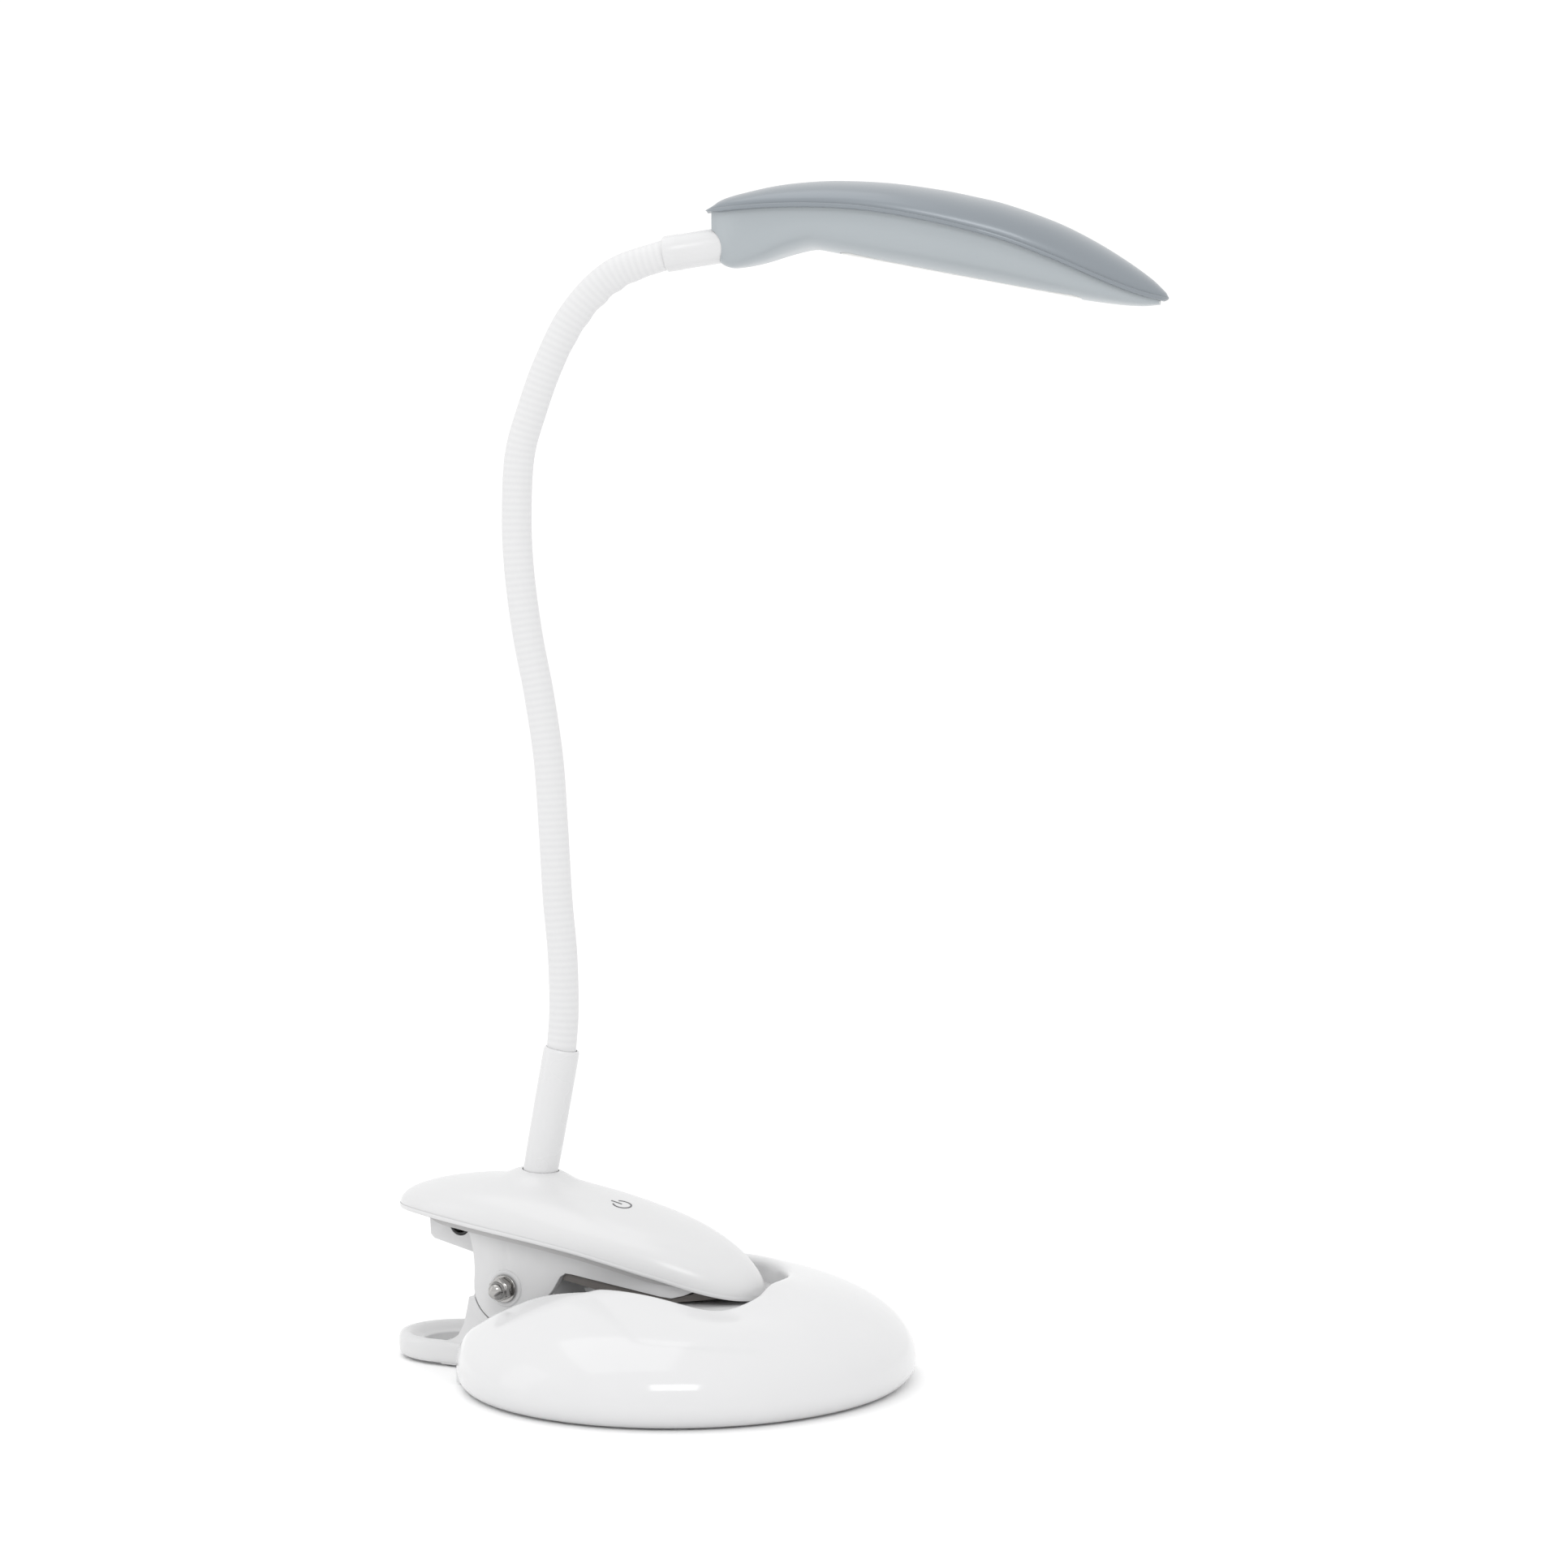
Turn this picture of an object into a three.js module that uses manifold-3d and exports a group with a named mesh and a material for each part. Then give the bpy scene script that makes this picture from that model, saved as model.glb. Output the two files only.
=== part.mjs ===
// Clip-on reading lamp on a weighted desk stand, in millimetres, +Z up.
// The origin is the middle of the stand's underside; +X points to the nose of the clip.
import * as THREE from "three";
import { mergeVertices } from "three/addons/utils/BufferGeometryUtils.js";
import Module from "manifold-3d";

const wasm = await Module();
wasm.setup();

// ---- driving dimensions ------------------------------------------------------------------
const gap = 0.3; // running gap between neighbouring pieces
const wall = 2.4; // moulded wall of the stand
const skin = 2; // moulded wall of the clip and of the head

const stand = {
  halfLength: 76.5,
  halfWidth: 82,
  waist: 8, // height of the widest line
  height: 41.5,
  rimHeight: 0.6,
  padHeight: 2,
  plateBottom: 2.3,
  plateTop: 4.6,
  ballastTop: 8.9,
};
const channel = { halfWidth: 38.5, tongueStart: -13, openEnd: -58, floor: 15, linerBottom: 12.3 };
const pocket = { halfWidth: 36, centreX: -3.5, noseX: 35 };
const tongue = { bottom: 25.5, top: 29.5 };
const slot = { halfWidth: 22, endX: 20 };
const standScrews = [
  [49, 44],
  [49, -44],
  [-43, 55],
  [-43, -55],
];

const pivot = { x: -60, z: 29.5 };
const jaw = {
  tailX: -112,
  noseX: 28,
  halfWidth: 27,
  plateHalf: 19.5, // outer face of both pairs of ears
  earInner: 16.5, // inner face of the upper ears
  lowerEarInner: 12.6,
  lugRadius: 12.7,
};
const bolt = { radius: 1.95, hole: 2.3, headY: 22.6, tipY: -24.4 };

const neck = {
  count: 9,
  sleeveRadius: 5.1,
  boreRadius: 3.5,
  coreRadius: 3.1,
  endGap: 2,
  yaw: THREE.MathUtils.degToRad(18), // the neck bends in a plane turned about the collar
  ferruleRadius: 6.2,
  headFerruleRadius: 5.65,
};
const collar = { x: -57.9, z: 66 };

const head = { rootS: 59.5, tipS: 214, halfWidth: 24, pitch: -0.19 };

// ---- materials ---------------------------------------------------------------------------
const plastic = (colour, roughness = 0.3) =>
  new THREE.MeshStandardMaterial({ color: colour, roughness, metalness: 0 });
const metal = (colour, roughness = 0.3) =>
  new THREE.MeshStandardMaterial({ color: colour, roughness, metalness: 1 });

// ---- helpers -----------------------------------------------------------------------------
// A closed geometry as a solid that can be cut and joined.
function solid(geometry) {
  const bare = geometry.index ? geometry.toNonIndexed() : geometry.clone();
  bare.deleteAttribute("normal");
  bare.deleteAttribute("uv");
  const merged = mergeVertices(bare, 1e-4);
  const made = new wasm.Manifold(
    new wasm.Mesh({
      numProp: 3,
      vertProperties: merged.attributes.position.array,
      triVerts: new Uint32Array(merged.index.array),
    }),
  );
  return made;
}

// A solid as a geometry again.
function geometryOf(body) {
  const mesh = body.getMesh();
  const geometry = new THREE.BufferGeometry();
  geometry.setAttribute("position", new THREE.BufferAttribute(mesh.vertProperties, 3));
  geometry.setIndex(new THREE.BufferAttribute(mesh.triVerts, 1));
  geometry.computeVertexNormals();
  return geometry;
}

const join = (bodies) => bodies.reduce((whole, body) => whole.add(body));
const cut = (body, tools) => tools.reduce((whole, tool) => whole.subtract(tool), body);

function named(name, geometry, material) {
  const mesh = new THREE.Mesh(geometry, material);
  mesh.name = name;
  return mesh;
}

// A box between two corners.
function box(x0, x1, y0, y1, z0, z1) {
  const geometry = new THREE.BoxGeometry(x1 - x0, y1 - y0, z1 - z0);
  return geometry.translate((x0 + x1) / 2, (y0 + y1) / 2, (z0 + z1) / 2);
}

// A plan outline raised from z0 to z1.
function slab(shape, z0, z1, segments = 12) {
  const options = { depth: z1 - z0, bevelEnabled: false, curveSegments: segments };
  return new THREE.ExtrudeGeometry(shape, options).translate(0, 0, z0);
}

// A side outline, drawn in X and Z, carried from y0 to y1.
function sidePlate(shape, y0, y1, segments = 12) {
  const options = { depth: y1 - y0, bevelEnabled: false, curveSegments: segments };
  return new THREE.ExtrudeGeometry(shape, options).rotateX(Math.PI / 2).translate(0, y1, 0);
}

// A round bar along Y between y0 and y1, centred on (x, z).
function crossBar(x, z, radius, y0, y1, sides = 24) {
  const geometry = new THREE.CylinderGeometry(radius, radius, y1 - y0, sides);
  return geometry.translate(x, (y0 + y1) / 2, z);
}

// A round bar along Z between z0 and z1, centred on (x, y).
function post(x, y, radius, z0, z1, sides = 20) {
  const geometry = new THREE.CylinderGeometry(radius, radius, z1 - z0, sides);
  return geometry.rotateX(Math.PI / 2).translate(x, y, (z0 + z1) / 2);
}

// A turned body about +Z from [radius, height] pairs listed from the bottom up.
function turned(profile, sides = 24) {
  const points = profile.map(([radius, height]) => new THREE.Vector2(radius, height));
  return new THREE.LatheGeometry(points, sides).rotateX(Math.PI / 2);
}

// A closed body through equal rings of points, capped at both ends.
function loft(rings) {
  const count = rings[0].length;
  const positions = rings.flat().flatMap((point) => point.toArray());
  const index = [];
  for (let ring = 0; ring < rings.length - 1; ring++) {
    for (let i = 0; i < count; i++) {
      const a = ring * count + i;
      const b = ring * count + ((i + 1) % count);
      index.push(a, b, a + count, b, b + count, a + count);
    }
  }
  for (const [ring, turn] of [[0, 1], [rings.length - 1, -1]]) {
    const middle = new THREE.Vector3();
    rings[ring].forEach((point) => middle.addScaledVector(point, 1 / count));
    const centre = positions.length / 3;
    positions.push(...middle.toArray());
    for (let i = 0; i < count; i++) {
      const a = ring * count + i;
      const b = ring * count + ((i + 1) % count);
      index.push(...(turn > 0 ? [centre, b, a] : [centre, a, b]));
    }
  }
  const geometry = new THREE.BufferGeometry();
  geometry.setAttribute("position", new THREE.Float32BufferAttribute(positions, 3));
  geometry.setIndex(index);
  return geometry;
}

// A smooth height over x through a few [x, height] points.
function heightLine(points) {
  const curve = new THREE.SplineCurve(points.map(([x, z]) => new THREE.Vector2(x, z)));
  const samples = curve.getPoints(240);
  return (x) => {
    const after = samples.findIndex((point) => point.x >= x);
    if (after === 0) return samples[0].y;
    if (after < 0) return samples[samples.length - 1].y;
    const low = samples[after - 1];
    const high = samples[after];
    return low.y + ((high.y - low.y) * (x - low.x)) / (high.x - low.x);
  };
}

// An ellipse in plan with a notch cut square into its tail end.
function notchedEllipse(halfX, halfY, notchX, notchHalf) {
  const side = Math.asin(notchHalf / halfY);
  const shape = new THREE.Shape();
  shape.absellipse(0, 0, halfX, halfY, -(Math.PI - side), Math.PI - side, false);
  shape.lineTo(notchX, notchHalf);
  shape.lineTo(notchX, -notchHalf);
  return shape;
}

// A straight-sided plan outline from x0, ending in a half circle about centreX.
function roundNose(x0, centreX, radius) {
  const shape = new THREE.Shape();
  shape.moveTo(x0, -radius);
  shape.lineTo(centreX, -radius);
  shape.absarc(centreX, 0, radius, -Math.PI / 2, Math.PI / 2, false);
  shape.lineTo(x0, radius);
  return shape;
}

// ---- stand -------------------------------------------------------------------------------
// The pebble body: a half ellipsoid above its waist and a round edge below it.
function pebble(inset, bottom) {
  const radius = stand.waist;
  const mean = (stand.halfLength + stand.halfWidth) / 2;
  const steps = 4;
  const lowest = Math.asin(Math.min(1, (radius - bottom) / radius));
  const profile = [[0, bottom]];
  for (let i = 0; i < steps; i++) {
    const angle = lowest * (1 - i / steps);
    profile.push([1 - (radius * (1 - Math.cos(angle))) / mean, radius - radius * Math.sin(angle)]);
  }
  const rise = stand.height - stand.waist - inset;
  for (let i = 0; i <= 9; i++) {
    const angle = (Math.PI / 2) * (i / 9);
    profile.push([i < 9 ? Math.cos(angle) : 0, stand.waist + rise * Math.sin(angle)]);
  }
  return turned(profile, 44).scale(stand.halfLength - inset, stand.halfWidth - inset, 1);
}

// The round end of the pocket in plan, starting at x0 and grown by a margin, as a raised slab.
function pocketSlab(x0, margin, z0, z1) {
  const end = slab(roundNose(x0, pocket.centreX, pocket.halfWidth + margin), z0, z1, 20);
  const stretch = (pocket.noseX - pocket.centreX) / pocket.halfWidth;
  return end.translate(-pocket.centreX, 0, 0).scale(stretch, 1, 1).translate(pocket.centreX, 0, 0);
}

// The channel, its round pocket and its open tail end, grown by a margin: the liner sits in it.
function standHollows(margin) {
  const half = channel.halfWidth + margin;
  const straight = box(-100, channel.tongueStart + margin, -half, half, channel.linerBottom, 60);
  const open = box(-100, channel.openEnd + margin, -half, half, -2, 60);
  const nose = pocketSlab(channel.tongueStart - 1, margin, channel.linerBottom, 60);
  return [straight, open, nose].map(solid);
}

function standShell() {
  const bosses = standScrews.map(([x, y]) => solid(post(x, y, 3.9, stand.plateTop + gap, 38)));
  const cavity = cut(solid(pebble(wall, -1)), standHollows(wall).concat(bosses));
  const holes = standScrews.map(([x, y]) => solid(post(x, y, 1.8, 3, 12.5)));
  const body = cut(solid(pebble(0, stand.rimHeight)), standHollows(0));
  return cut(body, [cavity, ...holes]);
}

// The deck of the channel, the tongue that the clip grips and the walls of the slot between them.
function standLiner() {
  const start = channel.tongueStart;
  const deckBottom = channel.linerBottom + gap;
  const half = channel.halfWidth - gap;
  const side = slot.halfWidth;
  const deck = solid(box(channel.openEnd, start, -half, half, deckBottom, channel.floor));
  const deckEnd = solid(pocketSlab(start, -gap, deckBottom, channel.floor));
  const top = solid(pocketSlab(start, -gap, tongue.bottom, tongue.top));
  const blockHalf = side + wall;
  const block = solid(box(start, slot.endX + wall, -blockHalf, blockHalf, channel.floor, tongue.bottom));
  const slotRoom = solid(box(start - 1, slot.endX, -side, side, channel.floor, tongue.bottom));
  const outer = pocket.halfWidth - gap;
  const face = solid(box(start, start + wall, -outer, outer, channel.floor, tongue.bottom));
  return join([deck, deckEnd, top, cut(block.add(face), [slotRoom])]);
}

function standBallast() {
  const outline = notchedEllipse(64, 69, -54, 42.5);
  const plate = solid(slab(outline, stand.plateTop + gap, stand.ballastTop));
  return cut(plate, standScrews.map(([x, y]) => solid(post(x, y, 4.5, 0, 20))));
}

function standPlate() {
  const outline = notchedEllipse(stand.halfLength - 7, stand.halfWidth - 7, -55, 41.6);
  const plate = solid(slab(outline, stand.plateBottom, stand.plateTop));
  const holes = standScrews.map(([x, y]) => solid(post(x, y, 1.8, 0, 8)));
  const heads = standScrews.map(([x, y]) => solid(post(x, y, 3.2, 0, 3.7)));
  return cut(plate, holes.concat(heads));
}

function standFootPad() {
  const outline = notchedEllipse(stand.halfLength - 8.6, stand.halfWidth - 8.6, -53.6, 43);
  return slab(outline, 0, stand.padHeight, 20);
}

function standScrew([x, y]) {
  const profile = [[0, 2.45], [2.7, 2.45], [2.7, 3.3], [1.5, 3.5], [1.5, 11.6], [0, 12.1]];
  return turned(profile, 12).translate(x, y, 0);
}

function buildStand() {
  const group = new THREE.Group();
  const white = () => plastic(0xf1f1f1, 0.16);
  group.add(named("stand_shell", geometryOf(standShell()), white()));
  group.add(named("stand_liner", geometryOf(standLiner()), white()));
  group.add(named("stand_ballast", geometryOf(standBallast()), metal(0x6f7173, 0.55)));
  group.add(named("stand_bottom_plate", geometryOf(standPlate()), plastic(0xd9d9d9, 0.5)));
  group.add(named("stand_foot_pad", standFootPad(), plastic(0x3b3b3d, 0.8)));
  standScrews.forEach((place, i) => {
    group.add(named(`stand_screw_${i + 1}`, standScrew(place), metal(0x9a9c9f, 0.35)));
  });
  return group;
}

// ---- lower jaw ---------------------------------------------------------------------------
const loop = { tailX: -112, rootX: -74, bottom: 0.9, top: 9, half: 20.5, holeHalf: 12.8 };
const jawFloor = { tailX: -66, noseX: 12, bottom: 15.6, top: 19.6 };

// The finger loop in plan: a half ellipse behind straight arms, with the same hole inside.
function loopOutline() {
  const shape = new THREE.Shape();
  const bend = -90;
  shape.moveTo(loop.rootX, -loop.half);
  shape.lineTo(loop.rootX, loop.half);
  shape.lineTo(bend, loop.half);
  shape.absellipse(bend, 0, bend - loop.tailX, loop.half, Math.PI / 2, 1.5 * Math.PI, false);
  const hole = new THREE.Path();
  hole.moveTo(loop.rootX - 5, -loop.holeHalf);
  hole.lineTo(loop.rootX - 5, loop.holeHalf);
  hole.lineTo(bend, loop.holeHalf);
  hole.absellipse(bend, 0, 13.5, loop.holeHalf, Math.PI / 2, 1.5 * Math.PI, false);
  shape.holes.push(hole);
  return shape;
}

// One side plate of the lower jaw, seen from the side.
function lowerSideOutline() {
  const shape = new THREE.Shape();
  shape.moveTo(-84, loop.bottom);
  shape.lineTo(-69.5, loop.bottom);
  shape.lineTo(-61, jawFloor.bottom);
  shape.lineTo(-30, jawFloor.bottom);
  shape.lineTo(-34, jawFloor.top + 1);
  shape.lineTo(-46.5, 22.6);
  shape.lineTo(-54, 36.5);
  shape.lineTo(-66, 36.5);
  shape.lineTo(-74.6, 25.4);
  shape.lineTo(-77.4, 13);
  shape.lineTo(-80.5, loop.top);
  shape.lineTo(-84, loop.top);
  return shape;
}

function lowerJawFrame() {
  const side = solid(sidePlate(lowerSideOutline(), -jaw.plateHalf, jaw.plateHalf));
  const between = -jaw.lowerEarInner;
  const throat = solid(box(-120, 30, between, jaw.lowerEarInner, -1, 60));
  const floorOutline = new THREE.Shape();
  floorOutline.moveTo(jawFloor.tailX, -jaw.plateHalf);
  floorOutline.lineTo(jawFloor.noseX - 8, -jaw.plateHalf);
  floorOutline.absarc(jawFloor.noseX - 8, 8 - jaw.plateHalf, 8, -Math.PI / 2, 0, false);
  floorOutline.absarc(jawFloor.noseX - 8, jaw.plateHalf - 8, 8, 0, Math.PI / 2, false);
  floorOutline.lineTo(jawFloor.tailX, jaw.plateHalf);
  const floor = solid(slab(floorOutline, jawFloor.bottom, jawFloor.top, 6));
  const fingers = solid(slab(loopOutline(), loop.bottom, loop.top, 10));
  const wallHalf = jaw.lowerEarInner + 1;
  const crossWall = solid(box(-76, -72.5, -wallHalf, wallHalf, loop.bottom, 12));
  const body = join([side.subtract(throat), floor, fingers, crossWall]);
  const seam = jaw.earInner - gap;
  const recess = (y0, y1) => solid(crossBar(pivot.x, pivot.z, jaw.lugRadius + 0.4, y0, y1, 40));
  const above = solid(box(-90, -30, -30, -seam, 25.2, 60));
  const aboveFar = solid(box(-90, -30, seam, 30, 25.2, 60));
  const hole = solid(crossBar(pivot.x, pivot.z, bolt.hole, -30, 30));
  return cut(body, [recess(-30, -seam), recess(seam, 30), above, aboveFar, hole]);
}

function lowerJawPad() {
  const shape = new THREE.Shape();
  shape.moveTo(-33, jawFloor.top + gap);
  shape.lineTo(9.5, jawFloor.top + gap);
  shape.lineTo(9.5, tongue.bottom - gap);
  for (let x = 8; x > -30; x -= 4) {
    shape.lineTo(x, tongue.bottom - gap);
    shape.lineTo(x - 1, tongue.bottom - gap - 1);
    shape.lineTo(x - 2, tongue.bottom - gap);
  }
  shape.lineTo(-33, 24);
  return sidePlate(shape, -15, 15);
}

function pivotBolt() {
  const profile = [
    [0, -bolt.headY],
    [3.1, -bolt.headY],
    [3.9, 0.7 - bolt.headY],
    [3.9, -20.4],
    [bolt.radius, -20.4],
    [bolt.radius, -bolt.tipY],
    [0, -bolt.tipY],
  ];
  return turned(profile, 20).rotateX(Math.PI / 2).translate(pivot.x, 0, pivot.z);
}

// The cap nut's hexagon, its round collar and its dome, opening towards the ear.
function capNut() {
  const hexagon = solid(crossBar(pivot.x, pivot.z, 4.04, -24.4, -21.2, 6));
  const profile = [[0, 21.4], [3.3, 21.4], [3.3, 24.9]];
  for (let i = 1; i <= 5; i++) {
    const angle = (Math.PI / 2) * (i / 5);
    profile.push([i < 5 ? 3 * Math.cos(angle) : 0, 25 + 3 * Math.sin(angle)]);
  }
  const dome = turned(profile, 20).rotateX(Math.PI / 2).translate(pivot.x, 0, pivot.z);
  const bore = solid(crossBar(pivot.x, pivot.z, 2.15, -24.7, -20));
  return hexagon.add(solid(dome)).subtract(bore);
}

function pivotWasher() {
  const ring = solid(crossBar(pivot.x, pivot.z, 4.7, -21, -20.35));
  return ring.subtract(solid(crossBar(pivot.x, pivot.z, bolt.hole, -30, 0)));
}

const spring = { wire: 0.9, coilRadius: 5.2, turns: 6, halfSpan: 8.4 };

// Round wire along a list of points.
function wireThrough(points, radius, stepsPerPoint, sides = 6) {
  const path = new THREE.CatmullRomCurve3(points, false, "chordal");
  const section = new THREE.Shape();
  section.absarc(0, 0, radius, 0, 2 * Math.PI, false);
  const options = {
    steps: Math.round(points.length * stepsPerPoint),
    bevelEnabled: false,
    extrudePath: path,
    curveSegments: sides / 2,
  };
  return new THREE.ExtrudeGeometry(section, options);
}

// The coil and the leg that bears on the lower handle.
function springCoil() {
  const points = [new THREE.Vector3(-71, -spring.halfSpan, 13.4)];
  const perTurn = 12;
  const start = THREE.MathUtils.degToRad(215);
  const total = spring.turns * perTurn;
  for (let i = 0; i <= total; i++) {
    const angle = start + (2 * Math.PI * i) / perTurn;
    const y = -spring.halfSpan + (2 * spring.halfSpan * i) / total;
    const x = pivot.x + spring.coilRadius * Math.cos(angle);
    points.push(new THREE.Vector3(x, y, pivot.z + spring.coilRadius * Math.sin(angle)));
  }
  return wireThrough(points, spring.wire, 1);
}

// The leg that bears on the tray of the upper jaw.
function springUpperLeg() {
  const y = spring.halfSpan + 2 * spring.wire + 0.4;
  const points = [
    new THREE.Vector3(-66.5, y, 32),
    new THREE.Vector3(-70, y, 38),
    new THREE.Vector3(-73.5, y, 43.6),
  ];
  return wireThrough(points, spring.wire, 1.4);
}

function buildLowerJaw() {
  const group = new THREE.Group();
  group.add(named("lower_jaw_frame", geometryOf(lowerJawFrame()), plastic(0xf0f0f0, 0.3)));
  group.add(named("lower_jaw_pad", lowerJawPad(), plastic(0x6d6763, 0.85)));
  group.add(named("pivot_bolt", pivotBolt(), metal(0xc9c9c9, 0.25)));
  group.add(named("pivot_cap_nut", geometryOf(capNut()), metal(0xcfcfcf, 0.18)));
  group.add(named("pivot_washer", geometryOf(pivotWasher()), metal(0xc4c4c4, 0.25)));
  group.add(named("jaw_spring_coil", springCoil(), metal(0xa9abad, 0.3)));
  return group;
}

// ---- upper jaw ---------------------------------------------------------------------------
const crestHeight = heightLine([
  [-112, 54.5], [-109, 57.6], [-90, 63.4], [-75, 65.3], [-58, 65.2], [-40, 62.9],
  [-22, 59.4], [-3, 54.6], [11, 48.8], [21, 41.6], [28, 33.5],
]);
const rimLine = heightLine([
  [-112, 53.2], [-97, 53.6], [-63, 50.7], [-25, 45.5], [0, 39.5], [12.5, 35.7], [28, 31.2],
]);
const trayBottom = (x) => 36.9 - 0.13 * (x + 37);

// Half width of the boat-shaped clip cover along x.
function jawHalfWidth(x) {
  const middle = (jaw.tailX + jaw.noseX) / 2;
  const t = Math.min(1, Math.abs(x - middle) / (jaw.noseX - middle));
  return jaw.halfWidth * Math.sqrt(Math.max(0, 1 - t ** 2.6));
}

// A boat: a domed top over a flat bottom, both following lines along its length.
function boat(x0, x1, halfWidth, crest, rim, stations = 18) {
  const across = 12;
  const rings = [];
  for (let i = 0; i <= stations; i++) {
    const x = (x0 + x1) / 2 - ((x1 - x0) / 2) * Math.cos((Math.PI * i) / stations);
    const half = Math.max(0.05, halfWidth(x));
    const low = rim(x);
    const rise = Math.max(0.05, crest(x) - low) * Math.min(1, half / 4);
    const ring = [];
    for (let k = 0; k <= across; k++) {
      const angle = Math.PI * (k / across);
      ring.push(new THREE.Vector3(x, half * Math.cos(angle), low + rise * Math.sin(angle) ** 0.85));
    }
    rings.push(ring);
  }
  return loft(rings);
}

// The collar axis leans with the foot of the neck.
const collarLean = Math.atan2(7.4, 40.9);
function alongCollar(geometry) {
  return geometry.rotateY(collarLean).rotateZ(neck.yaw).translate(collar.x, 0, collar.z);
}

function jawTopShell() {
  const outer = solid(boat(jaw.tailX, jaw.noseX, jawHalfWidth, crestHeight, rimLine));
  const flareProfile = [[0, -6], [14, -4.5], [11, -1.6], [8.6, 0.2], [7.6, 0.9], [0, 0.9]];
  const flare = solid(alongCollar(turned(flareProfile, 28)));
  const inner = solid(
    boat(
      jaw.tailX + skin,
      jaw.noseX - skin,
      (x) => jawHalfWidth(x) - skin,
      (x) => crestHeight(x) - skin,
      (x) => rimLine(x) - 4,
    ),
  );
  const bore = new THREE.CylinderGeometry(6.8, 6.8, 40, 28).rotateX(Math.PI / 2);
  return cut(outer.add(flare), [inner, solid(alongCollar(bore))]);
}

// The ears and the deep side of the tray, seen from the side.
function trayOutline() {
  const shape = new THREE.Shape();
  shape.moveTo(-75.8, 50.5);
  shape.quadraticCurveTo(-71.8, 40, -72.6, pivot.z + 1);
  shape.absarc(pivot.x, pivot.z, jaw.lugRadius, Math.PI, -0.3, false);
  shape.lineTo(-41.5, 30.4);
  shape.lineTo(-37, trayBottom(-37));
  shape.lineTo(4, trayBottom(4));
  shape.lineTo(10, 33.4);
  shape.lineTo(12, 35);
  for (let x = 10; x > -75; x -= 10) {
    shape.lineTo(x, rimLine(x) + 0.4);
  }
  return shape;
}

// The clip's plan outline, drawn in by a margin and raised as a prism.
function planPrism(inset, z0, z1) {
  const points = [];
  const count = 40;
  for (let i = 0; i < count; i++) {
    const angle = (2 * Math.PI * i) / count;
    const reach = (jaw.noseX - jaw.tailX) / 2 - inset;
    const x = (jaw.tailX + jaw.noseX) / 2 + reach * Math.cos(angle);
    const drawnIn = inset * Math.min(1, Math.abs(Math.sin(angle)) * 3);
    const half = Math.max(0.2, jawHalfWidth(x) - drawnIn);
    points.push(new THREE.Vector2(x, Math.sign(Math.sin(angle)) * half));
  }
  return slab(new THREE.Shape(points), z0, z1);
}

// The socket block under the tail.
const jack = { x: -82.4, z: 46.6, faceY: -13, radius: 4.4, socket: 3.1, pin: 0.65 };
const blockEnd = -76.6;

function jawTray() {
  const deck = boat(
    jaw.tailX + 5,
    jaw.noseX - 6,
    (x) => jawHalfWidth(x) - 3.8,
    (x) => rimLine(x) + 1.6,
    (x) => rimLine(x) - 0.6,
    20,
  );
  const sides = solid(sidePlate(trayOutline(), -jaw.plateHalf, jaw.plateHalf));
  const ears = sides.intersect(solid(planPrism(3.6, 0, 80)));
  const throat = solid(box(blockEnd + 0.1, -38.5, -jaw.earInner, jaw.earInner, 0, 46));
  const well = solid(box(-34, 2, -16.5, 16.5, 39.2, 60));
  const block = solid(box(-94, blockEnd, jack.faceY, 13, 41, 53));
  const slope = new THREE.Shape();
  slope.moveTo(-100, 30);
  slope.lineTo(-70, 30);
  slope.lineTo(-70, 38.6);
  slope.lineTo(-94, 44);
  slope.lineTo(-100, 44);
  const underside = solid(sidePlate(slope, -30, 30));
  const socket = solid(crossBar(jack.x, jack.z, jack.radius + gap, -40, 0));
  const boss = solid(crossBar(pivot.x, pivot.z, 6.4, -20.1, 20.1));
  const hole = solid(crossBar(pivot.x, pivot.z, bolt.hole, -30, 30));
  const neckBore = new THREE.CylinderGeometry(7, 7, 60, 24).rotateX(Math.PI / 2);
  const neckHole = solid(alongCollar(neckBore));
  const screws = trayScrews.map(([x, y]) => solid(post(x, y, 1.8, 30, 70)));
  const whole = join([solid(deck), ears, boss, block.subtract(underside)]);
  return cut(whole, [throat, well, socket, hole, neckHole, ...screws]);
}

// Each screw holds the tray to the clip's cover from below: its place and the seat of its head.
const trayScrews = [
  [-101, 0, rimLine(-101) - 0.6],
  [-45, 0, 46],
  [17, 0, rimLine(17) - 0.6],
];

function trayScrew([x, y, seat]) {
  const foot = seat - 2.2;
  const profile = [[0, 0], [2.6, 0], [2.6, 1.1], [1.4, 1.4], [1.4, 5.6], [0, 6]];
  return turned(profile, 12).translate(x, y, foot);
}

// The ribbed grip pad under the tray, following the nose of the clip.
function upperJawPad() {
  const shape = new THREE.Shape();
  const low = tongue.top + gap;
  shape.moveTo(-38.4, 34.3);
  shape.lineTo(-14, low);
  for (let x = -13; x < 5; x += 4) {
    shape.lineTo(x, low);
    shape.lineTo(x + 1, low + 0.8);
    shape.lineTo(x + 2, low);
  }
  shape.lineTo(7, low + 0.6);
  shape.lineTo(19, 31.6);
  shape.lineTo(20, 32.6);
  shape.lineTo(12.6, 34.6);
  shape.lineTo(10.4, 33.1);
  shape.lineTo(3.9, trayBottom(3.9) - gap);
  shape.lineTo(-36.8, trayBottom(-36.8) - gap);
  const pad = solid(sidePlate(shape, -18.3, 18.3)).intersect(solid(planPrism(4.6, 0, 80)));
  return geometryOf(cut(pad, [solid(post(17, 0, 3.1, 0, 60))]));
}

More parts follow.
